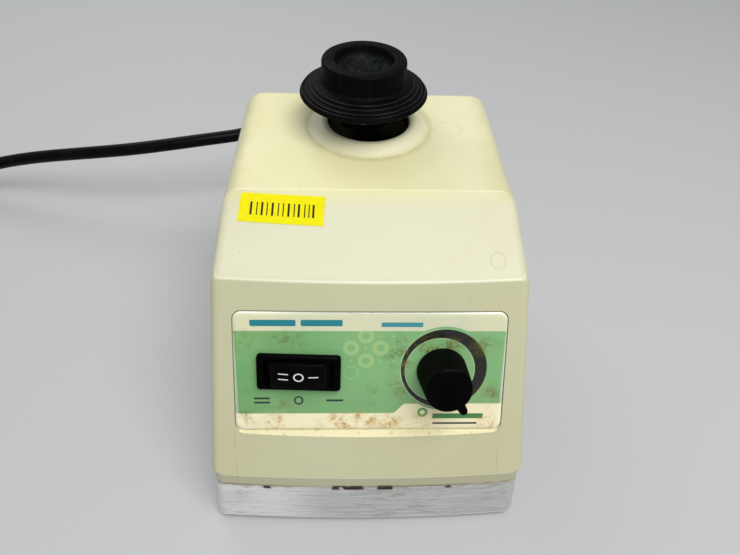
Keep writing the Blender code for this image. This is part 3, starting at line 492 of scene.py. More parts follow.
def cord_route():
    """The cord's free run: out of the gland, round to the left, then down to the bench."""
    leave = rear_frame(GLAND_X, GLAND_Z) @ Vector((0, 0, GLAND_LENGTH - 1.5 * MM))
    stops = [leave, leave + REAR_OUT * 10.8 * MM]
    for x, y, z in (
        (-34.0, 219.5, 53.3),
        (-45.5, 228.5, 53.2),
        (-61.5, 229.5, 52.4),
        (-82.3, 224.2, 51.0),
        (-104.3, 219.4, 50.0),
        (-126.0, 216.2, 48.2),
        (-146.0, 214.7, 46.0),
        (-169.0, 216.3, 42.3),
        (-192.0, 219.4, 38.0),
        (-217.0, 223.2, 32.6),
        (-241.3, 226.5, 26.0),
        (-262.0, 228.4, 18.6),
        (-280.0, 229.0, 11.4),
        (-294.0, 229.0, 6.3),
        (-305.8, 229.0, 4.2),
        (-320.0, 229.4, 4.0),
    ):
        stops.append(Vector((x * MM, LIP_Y + y * MM, z * MM)))
    return stops


def coil_route(spacing=20):
    """Four and a quarter turns, wound beside and on each other, as (turn angle, radius, height)."""
    low, middle, high = COIL_LAYERS
    stages = [(90, COIL_OUT, low), (380, COIL_OUT, low), (440, COIL_IN, low), (700, COIL_IN, low)]
    stages += [(760, COIL_IN, middle), (1030, COIL_IN, middle), (1090, COIL_OUT, middle)]
    stages += [(1330, COIL_OUT, middle), (1390, COIL_OUT, high), (1560, COIL_OUT, high)]
    stages += [(1620, COIL_OUT, COIL_END)]
    points = []
    for (start, r0, z0), (end, r1, z1) in zip(stages, stages[1:]):
        steps = max(1, round((end - start) / spacing))
        for k in range(steps):
            share = k / steps
            eased = share * share * (3 - 2 * share)
            angle = math.radians(start + (end - start) * share)
            radius = r0 + (r1 - r0) * eased
            out = Vector((radius * math.cos(angle), radius * math.sin(angle), 0))
            points.append(COIL_CENTRE + out + Vector((0, 0, z0 + (z1 - z0) * eased)))
    return points


def mains_cord(paint):
    end = COIL_CENTRE + Vector((-COIL_OUT, 0, COIL_END))
    low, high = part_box("plug")
    nose = (low + high) / 2
    nose.y = high.y - 1.0 * MM
    tail = [end, end.lerp(nose, 0.33), end.lerp(nose, 0.67), nose]
    route = smooth_route(cord_route(), 12 * MM) + coil_route() + tail
    curve = bpy.data.curves.new("power_cord", "CURVE")
    curve.dimensions = "3D"
    curve.bevel_depth = CORD_RADIUS
    curve.bevel_resolution = 4
    curve.resolution_u = 6
    curve.use_fill_caps = True
    line = curve.splines.new("BEZIER")
    line.bezier_points.add(len(route) - 1)
    for point, spot in zip(line.bezier_points, route):
        point.co = spot
        point.handle_left_type = point.handle_right_type = "AUTO"
    made = bpy.data.objects.new("mains_lead", curve)
    bpy.context.collection.objects.link(made)
    place(made, paint, "black_pvc", "base", "power_cord", "cord_coil")
    return made


def cord_gland(paint):
    """A strain relief: a flange, then a taper with rings cut into it."""
    outline = [(0, -6.5 * MM), (6.0 * MM, -6.5 * MM), (6.0 * MM, GAP), (8.2 * MM, GAP)]
    outline += heights(0, [(8.6, 0.7), (8.6, 2.3), (8.3, 2.8), (7.6, 3.0)])
    start, pitch = 5.0 * MM, 4.4 * MM
    for k in range(7):
        z = start + k * pitch
        reach = 6.6 * MM - 1.3 * MM * (z / GLAND_LENGTH)
        outline += [(reach, z), (reach, z + 2.4 * MM), (reach - 0.15 * MM, z + 2.6 * MM)]
        outline += [(4.5 * MM, z + 2.8 * MM), (4.5 * MM, z + pitch - 0.3 * MM)]
    outline += [(5.4 * MM, start + 7 * pitch), (5.2 * MM, GLAND_LENGTH - 0.5 * MM)]
    outline += [(4.8 * MM, GLAND_LENGTH), (0, GLAND_LENGTH)]
    made = turned("strain_relief", outline, rear_frame(GLAND_X, GLAND_Z), 48)
    return place(made, paint, "black_pvc", "base", "cord_gland")


def plug(paint):
    """A round moulded plug with grip ribs, on its side with its pins towards -Y."""
    low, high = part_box("plug")
    radius = (high.x - low.x) / 2
    centre = (low + high) / 2
    frame = at(centre.x, high.y, centre.z) @ Matrix.Rotation(math.radians(90), 4, "X")
    nose = 5.4 * MM
    outline = [(0, 0), (nose - 0.5 * MM, 0), (nose, 0.5 * MM)]
    for k in range(3):
        z = 2.6 * MM + k * 3.6 * MM
        outline += [(nose + 0.2 * MM, z), (nose - 0.6 * MM, z + 0.3 * MM), (nose - 0.5 * MM, z + 1.3 * MM)]
        outline += [(nose + 0.4 * MM, z + 1.6 * MM)]
    outline += heights(0, [(6.6, 14), (7.6, 16.6), (10.2, 18.6)])
    first = len(outline)
    outline += [(13.5 * MM, 20.2 * MM), (16.0 * MM, 23.2 * MM), (radius - 0.9 * MM, 27 * MM)]
    last = len(outline)
    outline += [(radius - 0.1 * MM, 29.0 * MM), (radius, 30.0 * MM), (radius, 41.8 * MM)]
    outline += [(radius - 0.4 * MM, 43.0 * MM), (radius - 1.3 * MM, 43.5 * MM), (0, 43.5 * MM)]
    made = turned("mains_plug", outline, frame, 144, 24, 0.9 * MM, range(first, last))
    for side in (-9.5 * MM, 9.5 * MM):
        combine(made, rod("pin_socket", 2.6 * MM, 39.5 * MM, 45 * MM, frame @ at(side)))
    return place(settle(made), paint, "black_pvc", "base", "plug")


# ---------------------------------------------------------------- base
def base_loop(z, inset):
    """One level of the base: a rectangle with round corners and a bowed front."""
    share = (z - BASE_BOTTOM) / (BASE_TOP - BASE_BOTTOM)
    half = BASE_HALF - BASE_DRAFT * share - inset
    front = LIP_Y - BASE_AHEAD * (1 - share) + inset
    back = BACK_FOOT_Y + BASE_REAR_LEDGE * (1 - share) - inset
    corner = BASE_CORNER - inset
    side = half - corner
    rear = arc((side, back - corner), corner, 0, 90, 8)
    rear += arc((-side, back - corner), corner, 90, 180, 8)
    ahead = arc((-side, front + corner), corner, 180, 270, 8)
    ahead += [(side * (k / 16 - 1), front) for k in range(1, 32)]
    ahead += arc((side, front + corner), corner, 270, 360, 8)
    return [(x, y, z) for x, y in rear + [(x, y + BOW * (x / half) ** 2) for x, y in ahead]]


def screw_places():
    for side, x in (("left", -55.3 * MM), ("right", 55.3 * MM)):
        for row, y in (("front", LIP_Y + 16.0 * MM), ("rear", LIP_Y + 141.5 * MM)):
            yield f"{row}_{side}", x, y


def base_plate(paint):
    foot = arc((1.6 * MM, BASE_BOTTOM + 1.6 * MM), 1.6 * MM, 270, 180, 6)
    levels = [(z, inset) for inset, z in foot]
    levels += [(BASE_TOP - 10 * MM, 0.0), (BASE_TOP - 0.9 * MM, 0.0)]
    levels += [(BASE_TOP - 0.26 * MM, 0.26 * MM), (BASE_TOP, 0.9 * MM)]
    made = loft("cast_base", [base_loop(z, i) for z, i in levels])
    for _, x, y in screw_places():
        wide, narrow = 4.2 * MM, 2.2 * MM
        bottom, step, top = BASE_BOTTOM - 1 * MM, BASE_BOTTOM + 9 * MM, BASE_TOP + 1 * MM
        outline = [(0, bottom), (wide, bottom), (wide, step), (narrow, step), (narrow, top), (0, top)]
        combine(made, turned("screw_hole", outline, at(x, y), 32))
    for x in (-43 * MM, 43 * MM):
        for y in (LIP_Y + 32 * MM, LIP_Y + 124 * MM):
            low, high = BASE_BOTTOM - 1 * MM, BASE_BOTTOM + 2.8 * MM
            combine(made, rod("foot_socket", 9.4 * MM, low, high, at(x, y)))
    for x in (-37 * MM, 37 * MM):
        for y in (LIP_Y + 80 * MM, LIP_Y + 141 * MM):
            low, high = BASE_TOP - 7 * MM, BASE_TOP + 1 * MM
            combine(made, rod("post_hole", 2.8 * MM, low, high, at(x, y)))
    for x in (-29 * MM, 29 * MM):
        for y in (LIP_Y + 16 * MM, LIP_Y + 42 * MM):
            low, high = BASE_TOP - 2 * MM, 35.7 * MM
            combine(made, rod("standoff", 2.6 * MM, low, high, at(x, y)), "UNION")
    return place(settle(made), paint, "grey_paint", "base", "base_plate")


# ---------------------------------------------------------------- housing and label
def inset_outline(points, distance):
    """Move each side of a convex outline inward by a distance."""
    lines = []
    for (y0, z0), (y1, z1) in zip(points, points[1:] + points[:1]):
        along = Vector((y1 - y0, z1 - z0)).normalized()
        inward = Vector((along.y, -along.x))
        lines.append((Vector((y0, z0)) + inward * distance, along))
    moved = []
    for (spot, along), (before, lead) in zip(lines, lines[-1:] + lines[:-1]):
        cross = along.x * lead.y - along.y * lead.x
        gap = before - spot
        moved.append(spot + along * ((gap.x * lead.y - gap.y * lead.x) / cross))
    return [(point.x, point.y) for point in moved]


def housing_hull(name, inset, foot_z, fold, across, segments):
    """The housing's outer shape, or the same shape inset to hollow it.

    The side outline goes up the front and down the back, and its corners become rows of points
    across the housing. The rows of the front stand forward in their middle, unless fold is 0.
    """
    corners = [(LIP_Y, foot_z), (LIP_Y, LIP_Z), FOLD_LOW, FOLD_HIGH]
    corners += [(BACK_TOP_Y, TOP_Z), (BACK_FOOT_Y, LIP_Z), (BACK_FOOT_Y, foot_z)]
    bows = [BOW, BOW, BOW, SLOPE_BOW, 0, 0, 0]
    folds = [0, 0.12 * fold, 0.12 * fold, 0.16 * fold, 0.7, 0.12 * fold, 0]
    sides = [0.7, 0.45, 0.6, 1.0, 1.0, 1.0]
    work = bmesh.new()
    rows = []
    for (y, z), bow in zip(inset_outline(corners, inset), bows):
        half = half_width(z) - inset
        shares = [2 * k / across - 1 for k in range(across + 1)]
        backs = [y + bow * (1 - fold * (1 - share**2)) for share in shares]
        rows.append([work.verts.new((half * share, back, z)) for share, back in zip(shares, backs)])
    for here, there in zip(rows, rows[1:] + rows[:1]):
        for k in range(across):
            work.faces.new((here[k], here[k + 1], there[k + 1], there[k]))
    lip, back = 1, 5
    for k in (0, across):
        side = [row[k] for row in rows]
        work.faces.new([side[0], side[lip], side[back], side[6]])
        work.faces.new(side[lip : back + 1])
    weight = work.edges.layers.float.new("bevel_weight_edge")
    for row, rounding in zip(rows, folds):
        for a, b in zip(row, row[1:]):
            work.edges.get((a, b))[weight] = rounding
    for k in (0, across):
        for here, there, rounding in zip(rows, rows[1:], sides):
            work.edges.get((here[k], there[k]))[weight] = rounding
        work.edges.get((rows[lip][k], rows[back][k]))[weight] = 0.12 * fold
    made = show(name, work)
    bevel = made.modifiers.new("rounding", "BEVEL")
    bevel.limit_method = "WEIGHT"
    bevel.width = EDGE_ROUND - inset
    bevel.segments = segments
    return made


def label_half(v, trim=0.0):
    """Half the label's width at v up the face, trimmed at all its edges."""
    share = (v - LABEL_LOW - trim) / (LABEL_HIGH - LABEL_LOW - 2 * trim)
    return LABEL_HALF_LOW - trim + (LABEL_HALF_HIGH - LABEL_HALF_LOW) * share


def label_outline(low, high, half_low, corner, columns):
    """For each share across the label: that share, and the foot and head of its column."""
    found = []
    for share in columns:
        past = max(0.0, (abs(share) - (1 - corner / half_low)) * half_low / corner)
        drop = corner * (1 - math.sqrt(max(0.0, 1 - min(1.0, past) ** 2)))
        found.append((share, low + drop, high - drop))
    return found


def label_tool():
    """The recess that the label sits in, as a solid to cut away."""
    edge = [1 - (1 - math.sin(math.pi / 2 * k / 8)) * LABEL_CORNER / LABEL_HALF_LOW for k in range(9)]
    columns = [-share for share in reversed(edge)] + edge
    outer = 4 * MM
    spread = (outer + RECESS) * RECESS_SLOPE
    loops = []
    for share, foot, head in label_outline(LABEL_LOW, LABEL_HIGH, LABEL_HALF_LOW, LABEL_CORNER, columns):
        corners = [(foot, -RECESS), (head, -RECESS), (head + 0.2 * spread, outer), (foot - spread, outer)]
        loops.append([label_point(share * label_half(v), v, out) for v, out in corners])
    return loft("label_recess", loops)


def control_openings(made, grow, hole_radius):
    """Cut the switch's slot and the potentiometer's hole."""
    slot = rounded_box(13.6 * MM + grow, 5.9 * MM + grow, 0.8 * MM, 4)
    frame = face_frame(SWITCH_X, CONTROL_V)
    combine(made, prism("switch_slot", slot, -9 * MM, 6 * MM, frame))
    combine(made, rod("shaft_hole", hole_radius, -9 * MM, 6 * MM, face_frame(KNOB_X, CONTROL_V)))


def housing(paint):
    made = housing_hull("moulded_housing", 0, BASE_TOP + GAP, 1.0, 12, 8)
    combine(made, housing_hull("hollow", WALL, BASE_TOP - 6 * MM, 0.0, 8, 2))
    sunk = TOP_Z - 1.5 * MM
    rim, rise = HOLE_RADIUS + 2.4 * MM, TOP_Z + COLLAR_HEIGHT
    collar = [(0, sunk), (COLLAR_RADIUS, sunk), (COLLAR_RADIUS, TOP_Z + 0.05 * MM)]
    collar += [(COLLAR_RADIUS - 0.8 * MM, TOP_Z + 0.3 * MM), (rim + 1.6 * MM, rise - 0.75 * MM)]
    collar += [(rim + 1.0 * MM, rise - 0.35 * MM), (rim + 0.5 * MM, rise - 0.1 * MM), (rim, rise)]
    collar += [(0, rise)]
    combine(made, turned("collar", collar, at(0, AXIS_Y), 128), "UNION")
    for _, x, y in screw_places():
        combine(made, rod("boss", 4.6 * MM, BASE_TOP + GAP, 50 * MM, at(x, y), 24), "UNION")
        combine(made, rod("boss_hole", 1.9 * MM, BASE_TOP - 2 * MM, 44.5 * MM, at(x, y), 24))
    low, high = TOP_Z - 6 * MM, rise + 1 * MM
    mouth = [(0, low), (HOLE_RADIUS, low), (HOLE_RADIUS, rise - 1.3 * MM)]
    mouth += [(HOLE_RADIUS + 0.3 * MM, rise - 0.7 * MM), (HOLE_RADIUS + 0.8 * MM, rise - 0.2 * MM)]
    mouth += [(HOLE_RADIUS + 1.5 * MM, rise + 0.01 * MM), (HOLE_RADIUS + 1.5 * MM, high), (0, high)]
    combine(made, turned("mouth", mouth, at(0, AXIS_Y), 128))
    combine(made, label_tool())
    control_openings(made, 0, 4.2 * MM)
    combine(made, rod("gland_hole", 6.3 * MM, -8 * MM, 4 * MM, rear_frame(GLAND_X, GLAND_Z)))
    combine(made, rod("fuse_hole", 7.8 * MM, -8 * MM, 4 * MM, rear_frame(FUSE_X, FUSE_Z)))
    return place(settle(made, 38), paint, "cream_abs", "base", "housing")


def panel_label(paint):
    """The label: a thin flat plate with a soft domed edge."""
    low, high = LABEL_LOW + GAP, LABEL_HIGH - GAP
    half_low = LABEL_HALF_LOW - GAP
    corner = LABEL_CORNER - GAP
    rim, crown = -0.55 * MM, 0.28 * MM
    steps = [0, 0.08, 0.2, 0.38, 0.6, 0.9, 1.3, 1.8, 2.4, corner / MM]
    close = [step * MM / half_low for step in steps]
    columns = [-1 + step for step in close]
    count = 44
    columns += [columns[-1] * (1 - 2 * k / count) for k in range(1, count)]
    columns += [1 - step for step in reversed(close)]
    loops = []
    for share, foot, head in label_outline(low, high, half_low, corner, columns):
        side = (1 - abs(share)) * half_low
        ups = [foot + step * MM * min(1.0, (head - foot) / (2 * corner)) for step in steps[:-1]]
        middle = [foot + corner + (head - foot - 2 * corner) * k / 20 for k in range(21)]
        ups += middle + [head + foot - up for up in reversed(ups)]
        top = []
        for v in ups:
            inside = min(side, v - foot, head - v)
            if side < corner and min(v - low, high - v) < corner:
                reach = math.hypot(corner - side, corner - min(v - low, high - v))
                inside = min(inside, max(0.0, corner - reach))
            swell = 1 - (1 - min(1.0, max(0.0, inside) / (1.9 * MM))) ** 2
            out = rim + (crown - rim) * math.sqrt(swell)
            top.append(label_point(share * label_half(v, GAP), v, out))
        under = [label_point(share * label_half(v, GAP), v, GAP - RECESS) for v in (head, foot)]
        loops.append(under + top)
    made = loft("face_label", loops)
    control_openings(made, 0.4 * MM, 6.4 * MM)
    return place(settle(made), paint, "green_label", "base", "panel_label")


def tag(paint):
    """The small yellow sticker on the slope, laid a little askew."""
    half_x, half_s, thick = 15.85 * MM, 6.45 * MM, 0.12 * MM
    top = thick + 0.04 * MM
    edge = ((-1, 0.01 * MM), (1, 0.01 * MM), (1, thick), (0.97, top), (-0.97, top), (-1, thick))
    loops = []
    for k in range(33):
        share = k / 16 - 1
        loop = []
        for up, out in edge:
            curl = max(0.0, (share * up - 0.86) / 0.14) if up > 0 and share > 0 else 0.0
            lift = 0.25 * MM * curl**2
            x, s = share * half_x, up * half_s
            across = TAG_X + x * math.cos(TAG_TURN) - s * math.sin(TAG_TURN)
            along = TAG_UP + x * math.sin(TAG_TURN) + s * math.cos(TAG_TURN)
            loop.append(slope_point(across, along, out + lift))
        loops.append(loop)
    made = loft("yellow_tag", loops)
    return place(made, paint, "cream_abs", "base")


# ---------------------------------------------------------------- switch and knob
def power_switch(paint):
    frame = face_frame(SWITCH_X, CONTROL_V)
    flange, top = 0.0, 2.4 * MM
    levels = [(13.3, 5.6, 0.6, -20 * MM), (13.3, 5.6, 0.6, flange), (15.3, 6.85, 1.3, flange)]
    levels += [(15.5, 7.05, 1.4, flange + 0.2 * MM), (15.5, 7.05, 1.4, top - 0.7 * MM)]
    levels += [(15.38, 6.93, 1.35, top - 0.34 * MM), (15.15, 6.7, 1.25, top - 0.12 * MM)]
    levels += [(14.8, 6.35, 1.1, top), (13.3, 5.55, 0.75, top + 0.05 * MM)]
    levels += [(12.95, 5.25, 0.6, top - 0.06 * MM), (12.75, 5.12, 0.5, top - 0.3 * MM)]
    levels += [(12.7, 5.1, 0.45, top - 1 * MM), (12.7, 5.1, 0.4, -8 * MM)]
    loops = []
    for half_x, half_y, corner, z in levels:
        loops.append([(x, y, z) for x, y in rounded_box(half_x * MM, half_y * MM, corner * MM)])
    made = loft("switch_bezel", loops, frame)
    return place(made, paint, "black_plastic", "base", "switch_body")


def rocker_crown(x):
    """Height of the rocker's front at x across."""
    return 5.4 * MM + 1.0 * MM * (1 - (x / (9.7 * MM)) ** 2)


def rocker(paint, white):
    frame = face_frame(SWITCH_X, CONTROL_V) @ at(z=-1.2 * MM)
    end, foot, crown = 12.2 * MM, 10.2 * MM, 9.7 * MM
    outline = [(-end, 2.1 * MM), (-foot, -1.8 * MM), (-3 * MM, -4.3 * MM), (3 * MM, -4.3 * MM)]
    outline += [(foot, -1.8 * MM), (end, 2.1 * MM), (crown + 0.5 * MM, 4.75 * MM)]
    outline += [(crown + 0.2 * MM, 5.2 * MM)]
    outline += [(crown * (1 - k / 16), rocker_crown(crown * (1 - k / 16))) for k in range(33)]
    outline += [(-crown - 0.2 * MM, 5.2 * MM), (-crown - 0.5 * MM, 4.75 * MM)]
    loops = []
    for side, shrink in ((-4.8, 0.95), (-4.72, 0.972), (-4.5, 0.99), (-4.2, 1.0)):
        loops.append([(x * shrink, side * MM, z * shrink) for x, z in outline])
    loops += [[(x, -y, z) for x, y, z in loop] for loop in reversed(loops)]
    made = loft("rocker_paddle", loops, frame)
    place(made, paint, "black_plastic", "rocker", "rocker")

    thick = 0.05 * MM
    for name, low, high, y in (
        ("mark_double_upper", -7.1, -3.4, 1.05),
        ("mark_double_lower", -7.1, -3.4, -1.1),
        ("mark_single", 3.9, 7.5, 0.0),
    ):
        loops = []
        for k in range(9):
            x = (low + (high - low) * k / 8) * MM
            loop = []
            for side, out in ((-0.2, -0.1), (-0.2, 0.7), (-0.14, 1), (0.14, 1), (0.2, 0.7), (0.2, -0.1)):
                loop.append((x, (y + side) * MM, rocker_crown(x) + out * thick))
            loops.append(loop)
        place(loft(name, loops, frame), white, "black_plastic", "rocker")
    work = bmesh.new()
    rings = []
    for radius, out in ((1.2, -0.1), (1.2, 0.7), (1.27, 1), (1.58, 1), (1.65, 0.7), (1.65, -0.1)):
        loop = []
        for k in range(48):
            angle = 2 * math.pi * k / 48
            x, y = radius * 1.15 * MM * math.cos(angle) + 0.35 * MM, radius * MM * math.sin(angle)
            loop.append(work.verts.new((x, y, rocker_crown(x) + out * thick)))
        rings.append(loop)
    for here, there in zip(rings, rings[1:] + rings[:1]):
        for k in range(48):
            m = (k + 1) % 48
            work.faces.new((here[k], here[m], there[m], there[k]))
    place(show("mark_ring", work, frame), white, "black_plastic", "rocker")


def speed_knob(paint):
    frame = face_frame(KNOB_X, CONTROL_V)
    wide, narrow, top = 9.4 * MM, 8.5 * MM, 15.4 * MM
    bore = 3.3 * MM
    outline = [(0, 12 * MM), (bore, 12 * MM), (bore, 4.4 * MM), (7.0 * MM, 4.4 * MM), (7.0 * MM, 0)]
    outline += [(wide - 0.3 * MM, 0), (wide, 0.3 * MM), (wide - 0.05 * MM, 1.4 * MM)]
    first = len(outline) - 1
    outline += [(narrow + 0.12 * MM, top - 2.2 * MM), (narrow, top - 1.1 * MM)]
    last = len(outline)
    outline += [(narrow - 0.12 * MM, top - 0.55 * MM), (narrow - 0.42 * MM, top - 0.2 * MM)]
    outline += [(narrow - 0.9 * MM, top), (narrow - 1.3 * MM, top), (narrow - 1.55 * MM, top - 0.12 * MM)]
    outline += [(narrow - 4 * MM, top - 0.2 * MM), (0, top - 0.22 * MM)]
    made = turned("ribbed_knob", outline, frame, 360, 60, 0.32 * MM, range(first, last))
    root, tip = 5 * MM, 11.2 * MM
    shape = [(root, -1.9 * MM), (tip - 0.5 * MM, -1.45 * MM)]
    shape += arc((tip - 0.9 * MM, 0), 1.45 * MM, -55, 55, 8)
    shape += [(tip - 0.5 * MM, 1.45 * MM), (root, 1.9 * MM)]
    loops = []
    for inset, z in ((0.3, 9.3), (0.0, 9.6), (0.0, 14.5), (0.12, 14.85), (0.45, 15.05)):
        shrink = 1 - inset * MM / tip
        loops.append([(x * shrink, y * (1 - inset * 0.4), z * MM) for x, y in shape])
    tab = loft("pointer", loops, frame @ Matrix.Rotation(KNOB_REST, 4, "Z"))
    combine(made, tab, "UNION")
    return place(settle(made), paint, "black_plastic", "knob", "speed_knob")


# ---------------------------------------------------------------- cup
def rubber_cup(paint):
    """The rubber cup: a drooping flange with rings moulded in it, a wall, and a conical hollow."""
    flange = CUP_TOP - 14.4 * MM
    wall = 17.4 * MM
    outline = heights(HUB_FOOT, [(0, 14.55), (7.3, 14.55), (7.3, 9.65), (10.4, 9.65), (10.6, 12.5)])
    outline += heights(flange, [(11.6, -0.35), (12.4, 0), (14.0, 0), (14.4, 0.5), (15.2, 0.5), (15.6, 0)])
    outline += heights(flange, [(19.4, 0), (19.8, 0.45), (20.6, 0.45), (21.0, 0), (24.6, 0)])
    outline += [(CUP_RIM - 0.9 * MM, flange), (CUP_RIM - 0.3 * MM, flange + 0.12 * MM)]
    outline += [(CUP_RIM, flange + 0.5 * MM), (CUP_RIM - 0.12 * MM, flange + 0.95 * MM)]
    outline += heights(flange, [(25.95, 1.6), (25.75, 2.05), (25.45, 2.1), (25.15, 1.8), (24.5, 2.1)])
    outline += heights(flange, [(24.4, 2.65), (24.1, 2.85), (22.8, 3.15), (22.65, 3.6), (22.3, 3.8)])
    outline += heights(flange, [(21.3, 4.05), (21.15, 4.65), (20.8, 4.9), (19.4, 5.15), (18.7, 5.3)])
    outline += heights(flange, [(18.0, 5.7), (17.6, 6.1)])
    outline += [(wall, flange + 6.7 * MM), (wall, CUP_TOP - 1.3 * MM)]
    outline += [(wall - 0.12 * MM, CUP_TOP - 0.7 * MM), (wall - 0.45 * MM, CUP_TOP - 0.22 * MM)]
    outline += [(wall - 0.9 * MM, CUP_TOP)]
    outline += heights(CUP_TOP, [(12.6, 0), (12.3, -0.08), (12.1, -0.35), (11.9, -1.1), (11.6, -2.4)])
    outline += heights(CUP_TOP, [(11.3, -2.9), (9.0, -5.0), (6.2, -7.5), (4.1, -9.35), (3.4, -9.85)])
    outline += heights(CUP_TOP, [(2.4, -10.25), (0, -10.4)])
    made = turned("soft_cup", outline, at(CUP_X, AXIS_Y), 128)
    return place(made, paint, "black_rubber", "cup", "rubber_cup")


def cup_hub(paint):
    outline = [(6.8, 0), (10.2, 0), (10.5, 0.12), (10.7, 0.45), (10.7, 8.75), (10.62, 9.1), (10.4, 9.3)]
    outline += [(10.1, 9.35), (7.0, 9.35), (7.0, 14.25), (0, 14.25), (0, 9.65), (6.8, 9.65)]
    made = turned("hub_barrel", heights(HUB_FOOT, outline), at(CUP_X, AXIS_Y))
    across = at(CUP_X, AXIS_Y, HUB_FOOT + 4.85 * MM) @ Matrix.Rotation(math.radians(90), 4, "X")
    combine(made, rod("set_screw_hole", 1.8 * MM, 8 * MM, 14 * MM, across))
    return place(settle(made), paint, "black_plastic", "cup", "cup_hub")


# ---------------------------------------------------------------- fuse
def fuse_fittings(paint):
    frame = rear_frame(FUSE_X, FUSE_Z)
    deep = -26 * MM
    outline = [(5.2 * MM, deep + 1.5 * MM), (0, deep + 1.5 * MM), (0, deep), (7.5 * MM, deep)]
    outline += [(7.5 * MM, GAP), (8.9 * MM, GAP), (9.2 * MM, 0.6 * MM), (9.2 * MM, 1.5 * MM)]
    outline += heights(0, [(9.05, 1.85), (8.7, 2.1), (5.4, 2.1), (5.2, 1.9)])
    place(turned("fuse_body", outline, frame), paint, "black_plastic", "base", "fuse_holder")
    tip = 11.5 * MM
    outline = heights(0, [(0, -3.3), (4.9, -3.3), (4.9, 2.4), (6.7, 2.4)])
    outline += heights(0, [(7.0, 2.7), (7.0, 3.4)])
    first = len(outline)
    outline += [(6.95 * MM, 3.7 * MM), (6.75 * MM, tip - 1.5 * MM)]
    last = len(outline)
    outline += [(6.7 * MM, tip - 1.2 * MM), (6.55 * MM, tip - 0.5 * MM), (6.1 * MM, tip - 0.1 * MM)]
    outline += [(5.6 * MM, tip), (0, tip)]
    made = turned("fuse_knob", outline, frame, 216, 36, 0.35 * MM, range(first, last))
    slot = [(4.6 * MM * x, 0.7 * MM * y) for x, y in ((-1, -1), (1, -1), (1, 1), (-1, 1))]
    combine(made, prism("cap_slot", slot, tip - 1.4 * MM, tip + 1 * MM, frame))
    place(settle(made), paint, "black_plastic", "fuse_cap", "fuse_cap")


